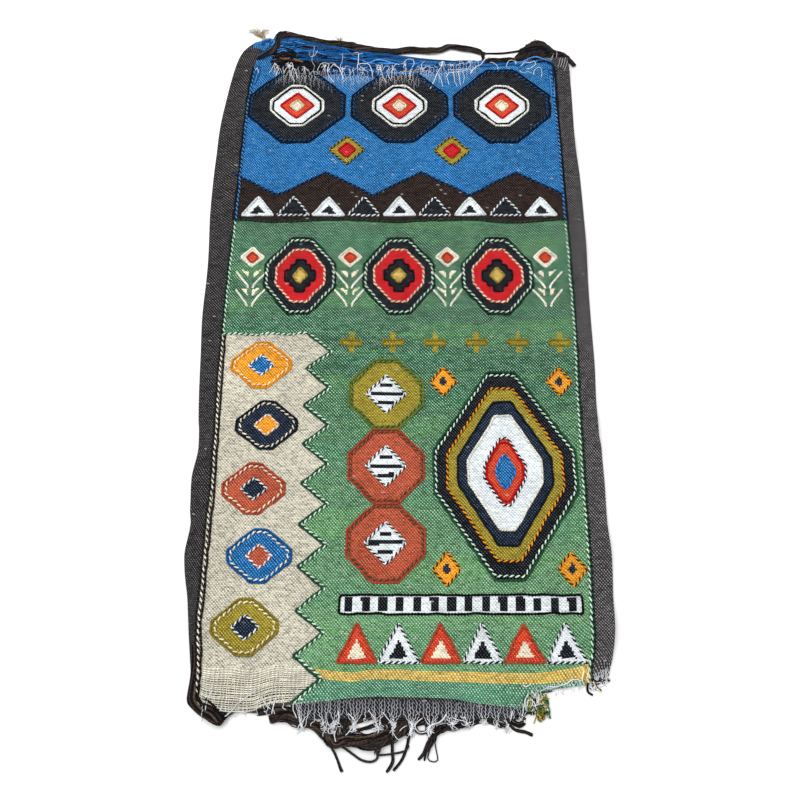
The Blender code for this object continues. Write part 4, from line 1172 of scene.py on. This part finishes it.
def layFootYarns():
    # the panel's last rows lie slack and wavy, each over and under the warps
    chance = np.random.default_rng(slackRows["seed"])
    strands = []
    for k in range(slackRows["count"]):
        f = (k + 0.4) / slackRows["count"]
        x = np.arange(slackRows["left"], slackRows["right"], slackRows["step"])
        level = slackRows["top"] + 0.0030 * np.sin(41 * x + 1) + 0.0018 * np.sin(103 * x)
        y = level + (readTable(slackFoot, x) - level) * f ** 0.95
        y += 0.0007 * f * smoothNoise(chance, len(x), 7)
        kept = (x > readTable(leftBorder, y) + 0.003) & (x < toothX(y) - 0.002)
        x, y = x[kept], y[kept]
        radius = slackRows["radius"] * (1 - 0.32 * f) * (1 + 0.08 * chance.normal())
        up = clothTop(x, y) + radius * (1.5 * f ** 0.7 - 0.75)
        up += 0.00025 * np.sin(2 * np.pi * x / 0.0056 + np.pi * k)
        tone = streaks(chance, len(x), 14)
        colour = tinted(chance, "panel", 0.06) * tone
        strands.append((np.c_[x, y, up] + frameShift, tapered(len(x), radius), colour))
    # the warps that they cross
    for x0 in np.arange(slackRows["warpLeft"], slackRows["warpRight"], slackRows["warpApart"]):
        y = np.arange(slackRows["warpTop"], float(readTable(slackFoot, x0)), -slackRows["warpStep"])
        x = x0 + 0.0012 * smoothNoise(chance, len(y), 6)
        kept = x < toothX(y) - 0.003
        x, y = x[kept], y[kept]
        up = clothTop(x, y) + 0.0009 + 0.0005 * np.sin(2 * np.pi * y / 0.0052 + chance.uniform(0, 6))
        up -= 0.0012 * np.clip(1 - (slackRows["warpTop"] - y) / 0.020, 0, 1)    # it comes up out of the web
        colour = tinted(chance, "panel", 0.05)
        radii = np.full(len(y), slackRows["warpRadius"])
        strands.append((np.c_[x, y, up] + frameShift, radii, colour))
    pileUp(strands)
    strands += singleBands(chance, "footYarns")
    pileUp(strands)
    finishPiece(yarnTubes("footYarns", strands), looseWool, "wool_weave")


layCornerYarns()
layFootYarns()

# Cut warp ends. Each knot gathers the warps near it: x, how far it stands beyond the woven edge, in mm.
frayBelow = dict(edge=bottomEdge, way=-1, grip=0.006, bend=260, waver=0.0006, dull=0.45, tangle=6,
                 gather=0.003, radius=0.00040, thick=0.0005, colours="warp")
frayed = {
    "topWarpEnds": dict(
        frayBelow, node="top_warp_ends", edge=topEdge, way=1, left=-0.222, right=0.150, spacing=0.0045,
        inset=0.042, curl=0.011, bend=210, waver=0.0011, dull=0.25, tangle=3, seed=31,
        knots=[(-195, 12), (-168, 6), (-132, 14), (-98, 10), (-61, 8), (-30, 12), (-8, 10), (15, 16), (45, 6),
               (80, 12), (100, 3), (133, 6)]),
    "lowerLeftWarpEnds": dict(
        frayBelow, node="lower_left_warp_ends", left=-0.262, right=-0.152, spacing=0.0090, inset=0.014,
        curl=0.002, waver=0.0005, dull=0.8, tangle=0, seed=32,
        knots=[(-236, 1), (-205, 1), (-176, 2), (-160, 3)]),
    "bottomWarpEnds": dict(
        frayBelow, node="bottom_warp_ends", left=-0.140, right=0.104, spacing=0.0043, inset=0.027, grip=0.014,
        curl=0.010, waver=0.0007, gather=0.010, seed=33,
        knots=[(-127, 14), (-96, 12), (-83, 10), (-56, 11), (-25, 10), (-4.5, 10), (20, 14), (45.5, 10),
               (75, 2), (95, 4)]),
    "bottomRightWarpEnds": dict(
        frayBelow, node="bottom_right_warp_ends", left=0.104, right=0.176, spacing=0.0042, inset=0.022,
        grip=0.010, curl=0.007, waver=0.0007, gather=0.006, thick=0.00055, seed=34,
        knots=[(118, 3), (135, 8), (149, 12), (170, 2)]),
    "tornStepEnds": dict(
        frayBelow, node="torn_step_ends", left=0.186, right=0.258, spacing=0.0034, inset=0.009, grip=0.004,
        curl=0.002, dull=0.8, tangle=0, seed=35, knots=[(190, 3), (212, 1), (236, 1), (250, 2)]),
    "borderEnds": dict(
        frayBelow, node="border_ends", left=0.262, right=0.291, spacing=0.0015, inset=0.012, grip=0.005,
        curl=0.006, dull=0.7, tangle=9, gather=0.004, thick=0.0007, seed=36,
        colours="warp soot warp warm charcoal", knots=[(266, 6), (274, 8), (283, 6), (288, 3)]),
}
# threads laid one by one: radius in tenths of a millimetre, places in mm
laidThreads = {
    "topWarpEnds": [
        (8, (-72, 527), (-70, 560)), (6, (-80, 563), (-70, 561), (-62, 560)),
        (8, (-70, 537), (-53, 537), (-47, 525), (-45, 512)), (4, (-74, 527), (-86, 513), (-97, 500)),
        (4, (-101, 560), (-99, 548), (-102, 535), (-101, 525)),
        (4, (-152, 576), (-152, 560), (-154, 546), (-149, 530)),
        (5, (-161, 558), (-156, 551), (-148, 556), (-145, 565)),
        (9, (82, 545), (80, 532), (73, 521), (66, 503), (59, 485)), (6, (74, 519), (79, 503), (82, 490)),
        (9, (162, 555), (152, 539), (139, 530), (132, 519)), (6, (160, 555), (170, 560)),
        (5, (91, 526), (110, 528), (130, 529), (136, 524)), (5, (94, 521), (117, 524), (128, 528)),
        (5, (94, 524), (90, 510), (93, 494)), (5, (101, 524), (103, 508), (108, 490)),
        (5, (110, 526), (112, 508), (115, 492)), (5, (119, 526), (121, 510), (118, 496)),
        (6, (16, 526), (12, 539), (20, 548), (29, 547), (30, 537), (25, 526), (23, 512)),
        (6, (-10, 508), (-8, 526), (-2, 536), (5, 535)),
        (6, (-33, 537), (-37, 528), (-29, 521), (-20, 499)), (5, (-39, 535), (-31, 532), (-26, 539)),
        (5, (-26, 521), (-22, 532), (-15, 530), (-17, 519), (-11, 503)),
        (5, (49, 544), (43, 535), (47, 526), (54, 524)),
        (7, (-205, 519), (-198, 530), (-192, 539), (-188, 530), (-191, 517), (-184, 501)),
        (6, (-202, 537), (-195, 535), (-186, 526), (-178, 508)),
        (6, (-231, 521), (-226, 530), (-221, 537), (-216, 528), (-219, 514)),
        (5, (-250, 517), (-253, 528), (-256, 521)),
        (6, (-144, 521), (-140, 535), (-132, 540), (-124, 535), (-126, 521), (-120, 508), (-114, 499)),
        (8, (-120, 528), (-115, 535), (-108, 531), (-102, 521), (-98, 508)),
        (5, (-128, 538), (-117, 539), (-110, 535)),
        (6, (169, 544), (178, 539), (183, 532), (179, 524), (176, 530)),
        (6, (198, 535), (201, 544), (208, 548), (216, 546), (214, 539)),
        (6, (225, 535), (231, 544), (240, 542), (248, 546), (251, 539), (243, 532), (234, 530)),
        (6, (246, 517), (250, 528), (258, 532), (262, 524), (260, 512)),
        (5, (221, 526), (228, 521), (237, 524), (244, 519)), (3, (291, 530), (297, 553)),
        (3, (295, 530), (301, 552)), (3, (299, 526), (305, 548)), (3, (302, 522), (308, 541)),
        (4, (289, 553), (291, 559), (291, 566)), (6, (278, 550), (282, 556), (284, 560)),
    ],
    "bottomWarpEnds": [
        (7, (-78, -555), (-77, -570), (-84, -574), (-90, -578), (-88, -583), (-81, -580),
         (-83, -586), (-80, -593)), (6, (-65, -558), (-55, -568), (-61, -577), (-64, -582), (-68, -585)),
        (6, (-38, -554), (-30, -563), (-26, -574), (-22, -579)),
        (6, (-18, -556), (-9, -567), (-1, -573), (-4, -581), (3, -590), (16, -587)),
        (10, (17, -567), (21, -574), (18, -582), (21, -587)),
        (7, (35, -564), (25, -573), (29, -581), (39, -581), (44, -574)),
        (11, (68, -559), (60, -568), (47, -573), (43, -581), (44, -588)),
        (6, (76, -564), (90, -568), (97, -572)), (5, (4, -580), (14, -573)),
    ],
    "bottomRightWarpEnds": [
        (9, (157, -555), (154, -567), (150, -575), (150, -579)), (6, (172, -546), (171, -556), (170, -562)),
        (6, (180, -534), (174, -541), (173, -551)), (6, (184, -539), (185, -546), (181, -551)),
    ],
    "lowerLeftWarpEnds": [
        (6, (-192, -530), (-207, -540), (-220, -553), (-230, -562)),
        (6, (-251, -529), (-255, -540), (-256, -554)), (6, (-233, -548), (-237, -556)),
        (8, (-164, -539), (-166, -550), (-168, -559)), (6, (-183, -538), (-176, -548), (-170, -553)),
        (6, (-138, -540), (-139, -553), (-134, -564)), (7, (-128, -569), (-124, -582)),
    ],
    "tornStepEnds": [
        (7, (206, -524), (220, -524), (233, -520), (241, -516), (253, -516)),
        (6, (180, -531), (175, -541), (174, -553)), (6, (183, -530), (190, -536), (193, -545)),
        (5, (177, -536), (184, -542), (184, -549)), (6, (195, -531), (204, -527), (215, -526)),
    ],
    "borderEnds": [
        (8, (278, -525), (286, -519), (289, -514)), (7, (267, -521), (272, -527), (277, -530)),
    ],
}


def layWarpEnds(name, fray):
    chance = np.random.default_rng(fray["seed"])
    strands = []
    way = fray["way"]
    outward = math.pi / 2 * way
    knots = metres(fray["knots"])
    knots = np.c_[knots[:, 0], readTable(fray["edge"], knots[:, 0]) + way * knots[:, 1]]
    for k, x0 in enumerate(np.arange(fray["left"], fray["right"], fray["spacing"])):
        if -0.256 < x0 < -0.226 and way == -1:      # the folded corner hides these
            continue
        x0 = x0 + 0.15 * fray["spacing"] * chance.normal()
        edgeY = float(readTable(fray["edge"], x0))
        inset = fray["inset"] * (chance.uniform(0.35, 1.0) if way == 1 else chance.uniform(0.9, 1.0))
        # inside the cloth each warp wavers and shows only between the slack wefts
        y = np.arange(0, inset, 0.0013)[::-1]
        n = len(y)
        knot = min(knots, key=lambda at: abs(at[0] - x0))
        gathered = abs(knot[0] - x0) < fray["grip"]
        pull = 0.5 * (knot[0] - x0) if gathered else 0.0
        weaving = np.sin(2 * np.pi * y / 0.0056 + np.pi * k)
        x = x0 + fray["waver"] * (smoothNoise(chance, n, max(2, n // 4)) + weaving)
        x = x + pull * np.clip(1 - y / 0.016, 0, 1) ** 2
        line = np.c_[x, edgeY - way * y]
        radius = fray["radius"] * chance.uniform(0.85, 1.2)
        rise = 1.1 * np.sin(2 * np.pi * y / 0.0048 + chance.uniform(0, 6)) + 0.4 + 0.8 * (1 - y / inset)
        up = restHeight(line[:, 0], line[:, 1]) + radius * rise
        # painted shade: each warp is darker deep in the web, among the wefts, and full colour where it leaves
        # it
        shade = np.linspace(fray["dull"], 1, n)[:, None]
        if gathered:
            end = knot + 0.0010 * chance.normal(size=2)
        else:
            end = np.array((x[-1] + 0.001 * chance.normal(), edgeY + way * chance.uniform(0.001, 0.005)))
        middle = (line[-1] + end) / 2 + 0.0012 * chance.normal(size=2)
        route, across = smoothRoute([line[-1], middle, end], 0.0015)
        tail = curlFrom(chance, route[-1], outward + 0.8 * chance.normal(),
                        fray["curl"] * chance.uniform(0.3, 1.2), fray["bend"])
        beyond, radii, colour = laid(chance, np.vstack([route[1:], tail]), radius)
        strands.append((np.vstack([np.c_[line, up] + frameShift, beyond]), np.r_[np.full(n, radius), radii],
                        np.vstack([colour * shade, np.tile(colour, (len(beyond), 1))])))
    colours = fray["colours"].split()
    for knot in knots:
        for _ in range(fray["tangle"]):
            start = knot + np.array((0.0015 * chance.normal(), -way * fray["gather"] * chance.random()))
            curl = curlFrom(chance, start, outward + 0.55 * chance.normal(),
                            fray["curl"] * chance.uniform(0.5, 1.1), fray["bend"])
            colour = colours[int(chance.integers(len(colours)))]
            strands.append(laid(chance, curl, fray["thick"], name=colour))
    for tenths, *places in laidThreads.get(name, ()):
        route, across = smoothRoute(metres(places), 0.0016)
        stray = 0.0004 * smoothNoise(chance, len(route), max(2, len(route) // 4))
        strands.append(laid(chance, route + across * stray[:, None], tenths / 10500, sink=True))
    return strands + singleBands(chance, name)


for name, fray in frayed.items():
    finishPiece(yarnTubes(name, layWarpEnds(name, fray), 0), warpWool, "warp_ends", fray["node"])
print("stage: warp ends laid")

tuft = {
    "fibres": 58, "wisp": 14, "radius": 0.00032, "root": (-0.2425, 0.5960), "wispRoot": (-0.106, 0.594),
    "colours": ("tan", "hay", "panel", "hay"), "seed": 41,
}


def layTuft():
    chance = np.random.default_rng(tuft["seed"])
    strands = []
    for k in range(tuft["fibres"] + tuft["wisp"]):
        if k < tuft["fibres"]:
            # one stem that frays: some fibres curl over to the right, the rest trail off to the left
            over = k % 3 == 0
            length = chance.uniform(0.026, 0.038) if over else chance.uniform(0.024, 0.050)
            turn = chance.uniform(-150, -50) if over else chance.uniform(-10, 62)
            s = np.linspace(0, 1, max(8, int(length / 0.0013)))
            heading = chance.normal(126, 7) + turn * s ** 1.6 + 24 * s * np.sin(9 * s + chance.uniform(0, 6))
            heading = np.radians(heading)
            line = (np.array(tuft["root"]) + 0.0012 * chance.normal(size=2)
                    + np.cumsum(np.c_[np.cos(heading), np.sin(heading)] * length / len(s), axis=0))
        else:
            # a small wisp stands on the brown hank
            line = curlFrom(chance, np.array(tuft["wispRoot"]) + 0.001 * chance.normal(size=2),
                            math.radians(chance.uniform(40, 150)), chance.uniform(0.010, 0.018), 30)
        t = np.linspace(0, 1, len(line))
        up = restHeight(line[:, 0], line[:, 1]) + 0.0008 + 0.004 * chance.random() * np.sin(np.pi * t)
        colour = tinted(chance, tuft["colours"][k % 4], 0.22)
        radii = tuft["radius"] * np.linspace(1.4, 0.5, len(line))
        strands.append((np.c_[line, up] + frameShift, radii, colour))
    return strands


finishPiece(yarnTubes("cornerTuft", layTuft(), 0), warpWool, "tan_fibre", "corner_tuft")

# a plain pale floor without a sheen, on which the frayed ends and their shadows stand out
floorPaint, floorTree, floorShader = newMaterial("pale_floor_paint")
fillSockets(floorTree, floorShader, {"Base Color": (0.90, 0.90, 0.90, 1), "Roughness": 0.8})
bpy.ops.object.select_all(action="DESELECT")
bpy.ops.mesh.primitive_plane_add(size=14, location=(0, 0, -0.0004))
floorPlane = bpy.context.active_object
floorPlane.name = "paleFloor"
floorPlane.data.materials.append(floorPaint)

studio = {"skyStrength": 0.75, "keyWatts": 75.0, "keySize": 3.0, "keyPlace": (-0.9, 0.9, 2.6), "keyLean": -19}
world = bpy.data.worlds.new("softStudio")
bpy.context.scene.world = world
world.use_nodes = True
fillSockets(world.node_tree, world.node_tree.nodes["Background"],
            {"Color": (1, 1, 1, 1), "Strength": studio["skyStrength"]})
bpy.ops.object.light_add(type="AREA", location=studio["keyPlace"])
key = bpy.context.active_object
key.name = "keyLight"
key.data.energy = studio["keyWatts"]
key.data.size = studio["keySize"]
key.rotation_euler = (math.radians(studio["keyLean"]), math.radians(studio["keyLean"]), 0)
bpy.context.scene.view_settings.view_transform = "Standard"

viewer = {"place": (0.0006, -0.5268, 1.1623), "tilt": 19.9, "lens": 36.0, "sensor": 36.0}
bpy.ops.object.camera_add(location=viewer["place"], rotation=(math.radians(viewer["tilt"]), 0, 0))
camera = bpy.context.active_object
camera.name = "photoCamera"
camera.data.lens = viewer["lens"]
camera.data.sensor_width = viewer["sensor"]
camera.data.clip_start = 0.01
bpy.context.scene.camera = camera
print("stage: floor, light and camera set")
